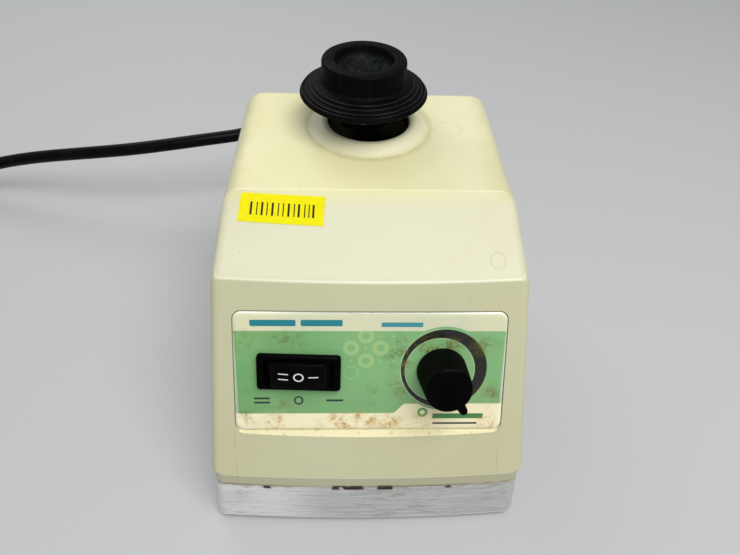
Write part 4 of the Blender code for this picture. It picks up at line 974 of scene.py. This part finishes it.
# ---------------------------------------------------------------- materials of the outside
def cream_plastic():
    """Aged housing plastic: yellowed on top, with dirt round the collar and at the joints; painted light
    and shade on top, below the lower fold, along the folds, on the collar ramp and recess wall, and down
    the hole.
    """
    paint = Paint("aged_cream_plastic", (0.56, 0.55, 0.37), 0.42)
    cloud, grain = paint.noise(11, 4, 0.6), paint.noise(70, 5, 0.62)
    # Painted light and shade: below the lower fold the plastic is painted darker; the top, partly yellowed,
    # is also painted lighter, and brighter towards +X.
    front = paint.span(paint.z, FOLD_LOW[1] + 1 * MM, FOLD_LOW[1] - 1 * MM)
    paint.blend(front, (0.58, 0.575, 0.42), (0.515, 0.51, 0.335))
    top = paint.span(paint.z, TOP_Z - 3 * MM, TOP_Z + 0.1 * MM)
    aged_and_lit = paint.mix(paint.span(paint.x, 5 * MM, 45 * MM), (0.635, 0.61, 0.352), (0.655, 0.645, 0.415))
    paint.lay(top, aged_and_lit)
    paint.lay(paint.span(cloud, 0.4, 0.68), (0.50, 0.465, 0.27), 0.5)
    away = paint.away_from(paint.x, paint.y, (0, AXIS_Y))
    aside = paint.span(paint.math("ABSOLUTE", paint.x), HALF_TOP - 13 * MM, HALF_TOP + 2 * MM)
    edge = paint.times(aside, top, paint.span(grain, 0.35, 0.6, 0.35, 0.8))
    paint.lay(edge, (0.50, 0.44, 0.21))
    # Painted light: the collar's ramp is painted lighter than the top round it.
    ramp = paint.span(away, COLLAR_RADIUS - 0.2 * MM, COLLAR_RADIUS - 1.4 * MM)
    paint.lay(paint.times(ramp, top), (0.64, 0.625, 0.42))
    foot = paint.ring_mask(away, COLLAR_RADIUS + 0.4 * MM, 0.3 * MM, 6 * MM)
    foot = paint.times(foot, top, paint.span(paint.noise(130, 5, 0.7), 0.34, 0.6, 0.15, 0.8))
    paint.lay(foot, (0.40, 0.345, 0.15))
    damp = paint.times(paint.ring_mask(paint.noise(26, 1, 0.4), 0.42, 0.003, 0.012), top)
    paint.lay(damp, (0.66, 0.64, 0.42), 0.35)
    ring = paint.away_from(paint.x, paint.y, (34.9 * MM, LIP_Y + 118.8 * MM))
    ring = paint.times(paint.ring_mask(ring, 5.7 * MM, 0.15 * MM, 0.5 * MM), top)
    paint.lay(ring, (0.38, 0.34, 0.2), 0.4)
    joint = paint.span(paint.z, BASE_TOP + 2.4 * MM, BASE_TOP + 0.4 * MM)
    joint = paint.times(joint, paint.span(grain, 0.38, 0.6, 0.25, 0.9))
    paint.lay(joint, (0.20, 0.155, 0.085))
    chips = [
        paint.box_mask(paint.x, paint.z, (x * MM, BASE_TOP + 0.9 * MM), (half * MM, 0.9 * MM), 0.8 * MM)
        for x, half in ((-8.2, 6.0), (7.0, 3.0))
    ]
    chips = paint.times(paint.either(*chips), paint.span(paint.noise(300, 4, 0.6), 0.30, 0.38))
    paint.lay(chips, (0.025, 0.009, 0.004))

    lift = paint.less(paint.z, LIP_Z)
    up = paint.times(lift, 1 / FACE_UP.z)
    low_face = paint.times(paint.span(up, 21 * MM, 19.5 * MM), paint.span(paint.y, 0, -20 * MM))
    lines = [
        paint.ring_mask(paint.add(paint.x, paint.times(up, slant)), spot * MM, 0.09 * MM, 0.3 * MM)
        for spot, slant in ((-51.9, 0.0), (51.2, 0.01))
    ]
    streak = paint.span(paint.noise(1, 4, 0.65, paint.stretched(300, 300, 60)), 0.42, 0.6, 0.1, 0.8)
    line = paint.times(paint.either(*lines), low_face, streak)
    paint.lay(line, (0.30, 0.19, 0.075))
    # Painted highlight: the recess's up-facing lower wall under the label is painted light, as if lit from
    # above; the crumbs laid on it next are dirt.
    face = paint.times(paint.span(paint.y, -20 * MM, -40 * MM), paint.span(up, -8 * MM, 0))
    shelf = paint.box_mask(paint.x, up, (0, LABEL_LOW - 1.2 * MM), (50 * MM, 2.4 * MM), 0.6 * MM)
    normal = paint.node("ShaderNodeNewGeometry").outputs["True Normal"]
    lean = paint.node("ShaderNodeSeparateXYZ", {0: normal})
    leaning = paint.span(lean.outputs["Z"], FACE_OUT.z + 0.12, FACE_OUT.z + 0.3)
    shelf = paint.times(shelf, face, leaning)
    paint.lay(shelf, (0.76, 0.70, 0.43), 0.8)
    crumbs = paint.times(shelf, paint.span(paint.noise(420, 5, 0.7), 0.55, 0.66))
    paint.lay(crumbs, (0.50, 0.32, 0.08), 0.6)
    drip = paint.away_from(paint.x, paint.z, (45.9 * MM, FOLD_LOW[1] + 2.7 * MM), 2.4)
    drip = paint.ring_mask(drip, 2.7 * MM, 0.15 * MM, 0.5 * MM)
    drip = paint.times(drip, paint.span(paint.y, 0, -10 * MM))
    paint.lay(drip, (0.40, 0.36, 0.22), 0.55)
    spots = paint.times(paint.specks(120, 0.055), paint.span(paint.noise(25, 2), 0.45, 0.6))
    paint.lay(spots, (0.25, 0.19, 0.10), 0.55)
    # Painted highlights: thin light lines along the lower fold, the lip and the upper fold.
    folds = [
        paint.ring_mask(paint.z, level, 0.15 * MM, 0.6 * MM) for level in (FOLD_LOW[1] - 0.1 * MM, LIP_Z)
    ]
    fold = paint.times(paint.either(*folds), paint.span(paint.y, -30 * MM, -40 * MM))
    crest_highlight = paint.ring_mask(paint.y, FOLD_HIGH[0] + 0.3 * MM, 0.15 * MM, 0.7 * MM)
    crest_highlight = paint.times(crest_highlight, paint.span(paint.z, TOP_Z - 4 * MM, TOP_Z - 2 * MM))
    paint.lay(paint.either(fold, crest_highlight), (0.84, 0.83, 0.70), 0.6)
    # Painted shade: the hole's wall is painted near black, more so with depth, and so is the inside of the
    # top round the hole.
    hole_shade = paint.span(away, HOLE_RADIUS + 0.5 * MM, HOLE_RADIUS + 0.1 * MM)
    hole_shade = paint.times(hole_shade, paint.span(paint.z, TOP_Z + COLLAR_HEIGHT, TOP_Z + 1.8 * MM, 0.3, 1.0))
    hidden = paint.span(paint.z, TOP_Z - 2.4 * MM, TOP_Z - 2.5 * MM)
    under = paint.span(away, HOLE_RADIUS + 12 * MM, HOLE_RADIUS + 10 * MM)
    hole_shade = paint.either(hole_shade, paint.times(hidden, under))
    paint.lay(hole_shade, (0.012, 0.011, 0.008))

    scuff = paint.noise(1, 3, 0.6, paint.stretched(900, 900, 40))
    rough = paint.span(grain, 0.3, 0.7, 0.36, 0.5)
    rough = paint.add(rough, paint.span(scuff, 0.62, 0.7, 0.0, 0.12))
    paint.set("Roughness", paint.add(rough, paint.times(foot, 0.15)))
    texture = paint.noise(2600, 2, 0.5)
    paint.bump((texture, 0.012 * MM), (cloud, 0.25 * MM), (grain, 0.02 * MM))
    paint.set("Specular IOR Level", 0.45)
    return paint.made


def base_paint():
    """Grey-white enamel on the casting, brushed, scuffed and chipped along its top edge, painted lighter at
    its left end and with a painted highlight along its bottom edge.
    """
    paint = Paint("worn_grey_enamel", (0.62, 0.635, 0.64), 0.4)
    cloud, grain = paint.noise(18, 4, 0.6), paint.noise(220, 5, 0.65)
    drag = paint.noise(1, 5, 0.7, paint.stretched(45, 45, 900))
    # Painted light: the base's left end is painted lighter.
    left = paint.span(paint.x, -12 * MM, -40 * MM)
    dull = paint.mix(left, (0.40, 0.41, 0.405), (0.60, 0.605, 0.60))
    bright = paint.mix(left, (0.52, 0.53, 0.525), (0.72, 0.725, 0.72))
    paint.blend(paint.span(drag, 0.36, 0.62), dull, bright)
    paint.lay(paint.span(cloud, 0.45, 0.7), (0.42, 0.42, 0.40), 0.45)
    fine = paint.span(paint.noise(1, 2, 0.5, paint.stretched(12, 12, 2600)), 0.62, 0.68)
    paint.lay(fine, (0.42, 0.43, 0.43), 0.35)
    dirt = paint.times(paint.specks(330, 0.11), paint.span(grain, 0.44, 0.58))
    paint.lay(dirt, (0.24, 0.22, 0.19), 0.6)
    top = paint.span(paint.z, BASE_TOP - 2.2 * MM, BASE_TOP - 0.2 * MM)
    grime = paint.times(top, paint.span(grain, 0.42, 0.6, 0.1, 0.75))
    paint.lay(grime, (0.34, 0.31, 0.26))
    chips = [
        paint.box_mask(paint.x, paint.z, (x * MM, BASE_TOP - 0.6 * MM), (half * MM, 1.0 * MM), 1.2 * MM)
        for x, half in ((-8.2, 6.5), (7.0, 3.2), (-41.0, 1.5), (33.0, 1.2))
    ]
    chips = paint.times(paint.either(*chips), paint.span(paint.noise(300, 4, 0.6), 0.34, 0.42))
    chips = paint.times(chips, paint.span(paint.y, 0, -40 * MM))
    paint.lay(chips, (0.03, 0.01, 0.004))
    hair = paint.away_from(paint.x, paint.z, (-19 * MM, 22 * MM))
    hair = paint.ring_mask(hair, 18.6 * MM, 0.1 * MM, 0.25 * MM)
    hair = paint.times(hair, paint.span(paint.x, -13 * MM, -10 * MM))
    paint.lay(paint.times(hair, paint.span(paint.z, 21 * MM, 17 * MM, 0.0, 0.6)), (0.2, 0.2, 0.2))
    gouge = paint.noise(1, 5, 0.75, paint.stretched(110, 110, 620))
    gouge = paint.times(paint.span(gouge, 0.55, 0.6), paint.span(cloud, 0.38, 0.54, 0.1, 1.0))
    paint.lay(gouge, (0.27, 0.27, 0.265), 0.6)
    # Painted highlight: a light band along the round bottom edge.
    low = paint.span(paint.z, BASE_BOTTOM + 2.6 * MM, BASE_BOTTOM + 1.0 * MM)
    paint.lay(low, (0.74, 0.75, 0.75), 0.7)
    rough = paint.span(drag, 0.35, 0.65, 0.33, 0.5)
    paint.set("Roughness", paint.add(rough, paint.times(chips, 0.4)))
    pits = paint.less(1.0, chips)
    cuts = paint.less(1.0, gouge)
    paint.bump((drag, 0.09 * MM), (grain, 0.05 * MM), (pits, 0.12 * MM), (cuts, 0.06 * MM))
    return paint.made


def label_print():
    """The printed label: a green band, a dial crescent, plain bars and dots, stains, and a painted
    reflection round its edge.
    """
    paint = Paint("printed_label", (0.8, 0.78, 0.58), 0.2)
    soft = 0.25 * MM
    back = paint.less(paint.y, LIP_Y + LABEL_SET)
    lift = paint.less(paint.z, LIP_Z)
    x, v = paint.x, paint.add(paint.times(back, FACE_UP.y), paint.times(lift, FACE_UP.z))
    cloud, grain = paint.noise(35, 4, 0.6), paint.noise(260, 4, 0.6)

    cream = paint.mix(paint.span(v, 40 * MM, 62 * MM), (0.83, 0.78, 0.53), (0.60, 0.62, 0.44))
    cream = paint.mix(paint.times(paint.span(cloud, 0.42, 0.62), 0.35), cream, (0.80, 0.72, 0.42))
    green = paint.mix(paint.span(x, -45 * MM, 5 * MM), (0.15, 0.37, 0.135), (0.205, 0.42, 0.18))
    green = paint.mix(paint.times(paint.span(v, 44 * MM, 31 * MM), 0.45), green, (0.17, 0.33, 0.14))
    green = paint.mix(paint.times(paint.span(cloud, 0.45, 0.65), 0.3), green, (0.29, 0.44, 0.19))
    away = paint.away_from(x, v, (27.57 * MM, 47.03 * MM))
    foot = paint.add(paint.times(paint.span(x, 8.6 * MM, 13.8 * MM), 4.1 * MM), 28.3 * MM)
    band = paint.times(
        paint.span(paint.less(v, foot), -soft / 2, soft / 2),
        paint.span(v, 62.5 * MM + soft / 2, 62.5 * MM - soft / 2),
    )
    bulge = paint.span(away, 17.3 * MM + soft / 2, 17.3 * MM - soft / 2)
    paint.blend(paint.either(band, bulge), cream, green)

    pale = []
    for spot in ((-7.2, 55.7), (-1.8, 60.5), (-1.7, 50.5), (3.7, 55.7)):
        off = paint.away_from(x, v, (spot[0] * MM, spot[1] * MM))
        pale.append(paint.ring_mask(off, 2.2 * MM, 0.8 * MM, soft))
    pale.append(paint.ring_mask(paint.away_from(x, v, (-7.2 * MM, 45.6 * MM)), 2.6 * MM, 0.2 * MM, soft))
    for spot in (
        (-1.8, 55.7), (3.6, 60.5), (8.4, 60.5), (13.5, 60.5), (8.9, 55.7),
        (3.6, 50.5), (8.6, 50.5), (13.4, 50.5), (-7.2, 50.5),
    ):
        pale.append(paint.ring_mask(paint.away_from(x, v, (spot[0] * MM, spot[1] * MM)), 0, 0.5 * MM, soft))
    pale = paint.times(paint.either(*pale), paint.span(v, 62.6 * MM, 62.4 * MM))
    paint.lay(pale, (0.40, 0.56, 0.22), 0.5)

    inner = paint.away_from(x, v, (26.05 * MM, 46.54 * MM))
    crescent = paint.times(
        paint.span(away, 16.16 * MM + soft / 2, 16.16 * MM - soft / 2),
        paint.span(inner, 13.21 * MM - soft / 2, 13.21 * MM + soft / 2),
    )
    paint.lay(crescent, (0.014, 0.014, 0.012))
    outline = paint.ring_mask(inner, 13.05 * MM, 0.1 * MM, 0.2 * MM)
    outer = paint.ring_mask(away, 16.4 * MM, 0.12 * MM, 0.2 * MM)
    outer = paint.times(outer, paint.span(x, 34 * MM, 20 * MM))
    paint.lay(paint.either(outline, outer), (0.62, 0.68, 0.48), 0.55)

    def bars(places, half_v, corner):
        found = []
        for centre_x, centre_v, half in places:
            middle, size = (centre_x * MM, centre_v * MM), (half * MM, half_v * MM)
            found.append(paint.box_mask(x, v, middle, size, 0.2 * MM, corner * MM))
        return paint.either(*found)

    title = bars([(-35.6, 65.6, 8.3), (-17.9, 65.6, 7.6)], 1.25, 0.5)
    paint.lay(title, (0.012, 0.20, 0.24))
    paint.lay(bars([(11.4, 65.0, 7.6)], 0.9, 0.4), (0.05, 0.25, 0.29))
    ink = bars([(-40.7, 34.8, 3.0), (-40.7, 33.0, 3.0), (-13.3, 33.9, 3.2)], 0.42, 0.2)
    stop = paint.ring_mask(paint.away_from(x, v, (-26.9 * MM, 33.9 * MM)), 1.5 * MM, 0.34 * MM, 0.2 * MM)
    paint.lay(paint.either(ink, stop), (0.02, 0.03, 0.03))
    paint.lay(bars([(34.0, 27.0, 9.8)], 1.1, 0.4), (0.05, 0.20, 0.06))
    paint.lay(bars([(33.0, 23.8, 8.6)], 0.42, 0.2), (0.05, 0.06, 0.05))
    mark = paint.away_from(x, v, (20.3 * MM, 28.6 * MM))
    paint.lay(paint.ring_mask(mark, 1.5 * MM, 0.5 * MM, soft), (0.12, 0.36, 0.08))

    speckle = paint.span(paint.noise(900, 4, 0.7), 0.36, 0.56, 0.25, 1.0)
    blotch = paint.times(paint.span(paint.noise(170, 6, 0.78, distortion=0.3), 0.42, 0.62), speckle)
    zones = [
        paint.times(paint.span(paint.away_from(x, v, (px * MM, pv * MM), squash), size * MM, 0), power)
        for px, pv, size, squash, power in (
            (25.5, 55.5, 13.0, 1.9, 2.2), (10.5, 51.5, 8.0, 1.0, 1.7), (11.0, 41.0, 7.0, 0.7, 1.0),
            (42.0, 57.0, 9.0, 1.2, 0.8), (46.0, 36.0, 8.0, 1.0, 0.9), (-30.0, 59.0, 13.0, 2.4, 0.8),
            (-45.0, 58.0, 8.0, 1.2, 0.7), (-44.0, 42.0, 7.0, 0.6, 0.6), (-34.0, 31.0, 9.0, 1.4, 0.7),
            (-47.0, 27.0, 8.0, 1.0, 0.7), (0.5, 36.0, 7.0, 1.0, 0.5), (10.0, 58.0, 6.0, 1.0, 0.6),
        )
    ]
    stain = paint.math("MINIMUM", paint.times(paint.either(*zones), blotch), 1.0)
    paint.lay(stain, (0.125, 0.115, 0.012), 0.9)
    band_low = paint.box_mask(x, v, (0, 24 * MM), (48 * MM, 3.6 * MM), 4 * MM)
    strong = [
        paint.span(paint.math("ABSOLUTE", paint.less(x, spot * MM)), wide * MM, 0.0)
        for spot, wide in ((-10, 14), (-2, 12), (21, 7), (46, 7), (-36, 7), (8, 8))
    ]
    rust = paint.times(paint.span(paint.noise(190, 6, 0.76, distortion=0.4), 0.42, 0.6), speckle)
    heavy = paint.span(paint.away_from(x, v, (-7 * MM, 26.8 * MM), 4.0), 14 * MM, 4 * MM)
    rust = paint.either(paint.times(band_low, paint.either(*strong), rust), paint.times(heavy, rust))
    paint.lay(rust, (0.47, 0.23, 0.03), 0.9)
    # Painted reflection: a light border round the label's domed edge, brighter towards its top.
    inside = paint.box_mask(x, v, (0, 45.45 * MM), (49.9 * MM, 23.9 * MM), 1.0 * MM, 3 * MM)
    lit = paint.times(paint.less(1.0, inside), paint.span(v, 20 * MM, 68 * MM, 0.35, 0.9))
    paint.lay(lit, (0.86, 0.86, 0.80))
    rim = paint.span(v, LABEL_LOW + 1.0 * MM, LABEL_LOW + 0.4 * MM)
    rim = paint.times(rim, paint.span(grain, 0.45, 0.6, 0.15, 0.8))
    paint.lay(rim, (0.60, 0.46, 0.16))
    spots = paint.times(paint.specks(420, 0.12), paint.span(cloud, 0.46, 0.6))
    paint.lay(spots, (0.22, 0.13, 0.05), 0.7)
    dirt = paint.either(stain, rust)
    paint.set("Roughness", paint.add(paint.span(grain, 0.35, 0.65, 0.17, 0.27), paint.times(dirt, 0.3)))
    paint.bump((cloud, 0.12 * MM), (dirt, 0.03 * MM))
    return paint.made


def tag_print():
    """Yellow sticker paper with a row of plain black stripes."""
    paint = Paint("yellow_sticker", (0.78, 0.70, 0.005), 0.42)
    grain = paint.noise(500, 4, 0.6)
    paint.blend(paint.span(grain, 0.35, 0.65), (0.66, 0.60, 0.002), (0.71, 0.65, 0.004))
    lean, rest = math.sin(TAG_TURN), math.cos(TAG_TURN)
    along = paint.add(paint.times(paint.x, rest), paint.times(paint.z, lean))
    start = TAG_X * rest + (FOLD_LOW[1] + TAG_UP * SLOPE_UP.z) * lean
    across = paint.less(along, start)
    rise = paint.times(paint.less(paint.z, FOLD_LOW[1]), 1 / SLOPE_UP.z)
    up = paint.less(rise, paint.times(across, math.tan(TAG_TURN)))
    stripes = []
    for middle, half in (
        (-11.4, 0.4), (-9.2, 0.22), (-7.3, 0.4), (-5.4, 0.22), (-3.4, 0.4), (-1.2, 0.22), (0.6, 0.22),
        (2.6, 0.4), (4.7, 0.22), (6.4, 0.4), (8.6, 0.22), (10.2, 0.22), (11.8, 0.4),
    ):
        spot, size = (middle * MM, TAG_UP + 0.1 * MM), (half * MM, 2.9 * MM)
        stripes.append(paint.box_mask(across, up, spot, size, 0.15 * MM))
    paint.lay(paint.either(*stripes), (0.02, 0.018, 0.012))
    paint.set("Roughness", paint.span(grain, 0.3, 0.7, 0.38, 0.5))
    paint.set("Specular IOR Level", 0.08)
    paint.bump((grain, 0.01 * MM))
    return paint.made


def moulded_black(name, colour, rough, dust=0.3, fine=1500, shine=0.1):
    """Black moulded plastic with a fine grain, light scratches and a little dust."""
    paint = Paint(name, (colour,) * 3, rough)
    grain, cloud = paint.noise(fine, 3, 0.6), paint.noise(90, 4, 0.6)
    paint.blend(paint.span(cloud, 0.35, 0.65), (colour, colour, colour * 1.04), (colour * 1.7,) * 3)
    lint = paint.times(paint.specks(700, 0.12), paint.span(cloud, 0.48, 0.6))
    paint.lay(lint, (0.09, 0.088, 0.08), dust)
    scratch = paint.noise(1, 3, 0.6, paint.stretched(1400, 120, 700))
    scratch = paint.span(scratch, 0.66, 0.72)
    paint.lay(scratch, (0.06, 0.06, 0.06), dust * 0.5)
    worn = paint.span(cloud, 0.3, 0.7, rough - 0.05, rough + 0.08)
    paint.set("Roughness", paint.add(worn, paint.times(lint, 0.3)))
    paint.set("Specular IOR Level", shine)
    paint.bump((grain, 0.008 * MM), (scratch, 0.004 * MM))
    return paint.made


def rubber(name, ridges=()):
    """Matte moulded rubber with specks of dust; given ridges, painted highlights along them and painted
    highlight streaks in the cup's hollow.
    """
    paint = Paint(name, (0.016, 0.0165, 0.016), 0.62)
    grain, cloud = paint.noise(1100, 4, 0.65), paint.noise(75, 4, 0.6)
    paint.blend(paint.span(cloud, 0.35, 0.65), (0.0008, 0.0009, 0.0008), (0.002, 0.0022, 0.002))
    upright = paint.noise(1, 4, 0.6, paint.stretched(420, 420, 30))
    paint.lay(paint.span(upright, 0.5, 0.66), (0.007, 0.007, 0.0065), 0.3)
    dust = paint.times(paint.specks(650, 0.16), paint.span(grain, 0.45, 0.6))
    paint.lay(dust, (0.04, 0.04, 0.036), 0.25)
    if ridges:
        away = paint.away_from(paint.x, paint.y, (0, 0))
        # Painted highlights: lighter rings along the flange's round ridges.
        worn = paint.either(*[paint.ring_mask(away, ridge * MM, 0.06 * MM, 0.25 * MM) for ridge in ridges])
        worn = paint.times(worn, paint.span(cloud, 0.35, 0.6, 0.4, 1.0))
        paint.lay(worn, (0.055, 0.057, 0.055), 0.9)
        # Painted highlight: light upright streaks in the cup's conical hollow.
        hollow = paint.span(away, 11.2 * MM, 10.0 * MM)
        hollow = paint.times(hollow, paint.span(upright, 0.4, 0.66, 0.2, 1.0))
        hollow = paint.times(hollow, paint.span(paint.z, CUP_TOP - 2 * MM, CUP_TOP - 4 * MM))
        paint.lay(hollow, (0.013, 0.016, 0.016))
    paint.set("Roughness", paint.span(cloud, 0.3, 0.7, 0.44, 0.62))
    paint.set("Specular IOR Level", 0.04)
    paint.bump((grain, 0.02 * MM), (upright, 0.015 * MM))
    return paint.made


def cord_jacket():
    """Smooth PVC cord jacket with faint mould ripples."""
    paint = Paint("cord_pvc", (0.014, 0.014, 0.0145), 0.3)
    grain, cloud = paint.noise(700, 3, 0.6), paint.noise(45, 3)
    paint.blend(paint.span(cloud, 0.35, 0.65), (0.0016, 0.0016, 0.0017), (0.003, 0.003, 0.003))
    dust = paint.times(paint.specks(500, 0.13), paint.span(cloud, 0.44, 0.6))
    paint.lay(dust, (0.06, 0.058, 0.05), 0.3)
    paint.set("Roughness", paint.span(grain, 0.3, 0.7, 0.27, 0.38))
    paint.set("Specular IOR Level", 0.06)
    paint.bump((cloud, 0.15 * MM), (grain, 0.01 * MM))
    return paint.made


# ---------------------------------------------------------------- materials of the inside
def metal(name, dark, light, rough, stretch, metallic=1.0, depth=0.01):
    """Metal whose tooling marks run along the directions that are stretched least."""
    paint = Paint(name, light, rough, metallic)
    grain = paint.noise(1, 4, 0.65, paint.stretched(*stretch))
    cloud = paint.noise(120, 3)
    paint.blend(paint.span(grain, 0.35, 0.65), dark, light)
    tarnish = paint.times(paint.span(cloud, 0.5, 0.7), 0.35)
    paint.lay(tarnish, tuple(level * 0.55 for level in dark))
    paint.set("Roughness", paint.span(grain, 0.3, 0.7, rough - 0.07, rough + 0.12))
    paint.bump((grain, depth * MM))
    return paint.made


def circuit_print():
    paint = Paint("board_solder_mask", (0.03, 0.16, 0.06), 0.35)
    lanes = paint.node("ShaderNodeTexBrick", {"Vector": paint.place, "Scale": 160.0}).outputs["Fac"]
    cloud = paint.noise(60, 3)
    paint.blend(paint.span(cloud, 0.4, 0.6), (0.02, 0.12, 0.045), (0.04, 0.19, 0.07))
    paint.lay(lanes, (0.09, 0.30, 0.12), 0.6)
    paint.set("Roughness", paint.span(cloud, 0.3, 0.7, 0.28, 0.45))
    paint.bump((lanes, 0.03 * MM), (paint.noise(1500, 2), 0.005 * MM))
    return paint.made


def copper_wire():
    paint = Paint("enamelled_wire", (0.55, 0.2, 0.07), 0.3, 0.9)
    turns = paint.math("SINE", paint.times(paint.x, 2 * math.pi / (0.45 * MM)))
    cloud = paint.noise(90, 3)
    paint.blend(paint.span(turns, -1.0, 0.2), (0.2, 0.06, 0.02), (0.62, 0.25, 0.09))
    paint.lay(paint.span(cloud, 0.45, 0.7), (0.32, 0.11, 0.04), 0.4)
    paint.set("Roughness", paint.span(cloud, 0.3, 0.7, 0.22, 0.4))
    paint.bump((turns, 0.1 * MM))
    return paint.made


def lamination():
    paint = Paint("core_laminations", (0.3, 0.29, 0.28), 0.5, 0.9)
    sheets = paint.math("SINE", paint.times(paint.z, 2 * math.pi / (0.5 * MM)))
    cloud = paint.noise(70, 4)
    paint.blend(paint.span(sheets, -1.0, 0.0), (0.09, 0.085, 0.08), (0.33, 0.32, 0.31))
    rust = paint.times(paint.span(cloud, 0.5, 0.65), 0.4)
    paint.lay(rust, (0.2, 0.1, 0.05))
    paint.set("Roughness", paint.span(cloud, 0.3, 0.7, 0.4, 0.65))
    paint.bump((sheets, 0.05 * MM))
    return paint.made


def fuse_glass():
    paint = Paint("fuse_glass_tube", (0.86, 0.9, 0.9), 0.06)
    smear = paint.noise(220, 3)
    paint.blend(paint.span(smear, 0.4, 0.6), (0.84, 0.88, 0.88), (0.9, 0.93, 0.93))
    paint.set("Roughness", paint.span(smear, 0.3, 0.7, 0.04, 0.14))
    paint.set("Transmission Weight", 0.75)
    return paint.made


def film_case():
    paint = Paint("capacitor_dip", (0.5, 0.09, 0.035), 0.35)
    cloud = paint.noise(130, 3)
    paint.blend(paint.span(cloud, 0.35, 0.65), (0.42, 0.07, 0.03), (0.58, 0.12, 0.05))
    paint.set("Roughness", paint.span(cloud, 0.3, 0.7, 0.28, 0.45))
    paint.bump((cloud, 0.1 * MM))
    return paint.made


def white_ink():
    paint = Paint("white_ink", (0.62, 0.63, 0.6), 0.45)
    worn = paint.noise(2200, 3, 0.6)
    paint.blend(paint.span(worn, 0.55, 0.7), (0.66, 0.67, 0.64), (0.36, 0.36, 0.35))
    paint.set("Roughness", paint.span(worn, 0.3, 0.7, 0.4, 0.55))
    return paint.made


# ---------------------------------------------------------------- the scene
camera()
jacket = cord_jacket()
lead = mains_cord(jacket)
relief = cord_gland(jacket)
mains_plug = plug(moulded_black("plug_pvc", 0.014, 0.36, 0.35))

base_plate(base_paint())
housing(cream_plastic())
panel_label(label_print())
tag(tag_print())
gloss = moulded_black("gloss_black_plastic", 0.0007, 0.2, 0.06, 900, 0.03)
power_switch(gloss)
rocker(moulded_black("rocker_plastic", 0.0012, 0.26, 0.08, 1500, 0.04), white_ink())
speed_knob(moulded_black("knob_plastic", 0.0008, 0.34, 0.1, 1500, 0.03))
rubber_cup(rubber("cup_rubber", (25.6, 24.25, 22.45, 20.95)))
cup_hub(moulded_black("hub_plastic", 0.003, 0.18, 0.1, 900))
fuse_fittings(moulded_black("fuse_plastic", 0.012, 0.34, 0.3))

carried = {
    "black_plastic": moulded_black("inner_black_plastic", 0.012, 0.4, 0.3),
    "black_rubber": rubber("foot_rubber"),
    "black_pvc": jacket,
    "steel": metal("machined_steel", (0.42, 0.42, 0.43), (0.6, 0.6, 0.61), 0.3, (260, 260, 2200)),
    "aluminium": metal(
        "cast_aluminium", (0.5, 0.5, 0.51), (0.66, 0.66, 0.67), 0.45, (700, 700, 700), 1.0, 0.03
    ),
    "brass": metal("turned_brass", (0.55, 0.38, 0.15), (0.76, 0.57, 0.26), 0.28, (300, 1800, 300)),
    "lamination_iron": lamination(),
    "copper_winding": copper_wire(),
    "circuit_board": circuit_print(),
    "fuse_glass": fuse_glass(),
    "capacitor_film": film_case(),
}
for node in frame["nodes"].values():
    slot = node.data.materials[0].name.split(".")[0]
    if slot in carried:
        node.data.materials[0] = carried[slot]

# Near-black inner parts: a black oxide finish, and painted shade for the dark seen down the hole.
oxide_and_shade = metal("black_oxide_steel_and_shade", (0.012, 0.012, 0.012), (0.03, 0.029, 0.028), 0.4, (260, 260, 1200), 0.6)
for name in ("counterweight", "crank_pin", "cup_bearing_lower", "cup_bearing_upper"):
    frame["nodes"][name].data.materials[0] = oxide_and_shade

studio()
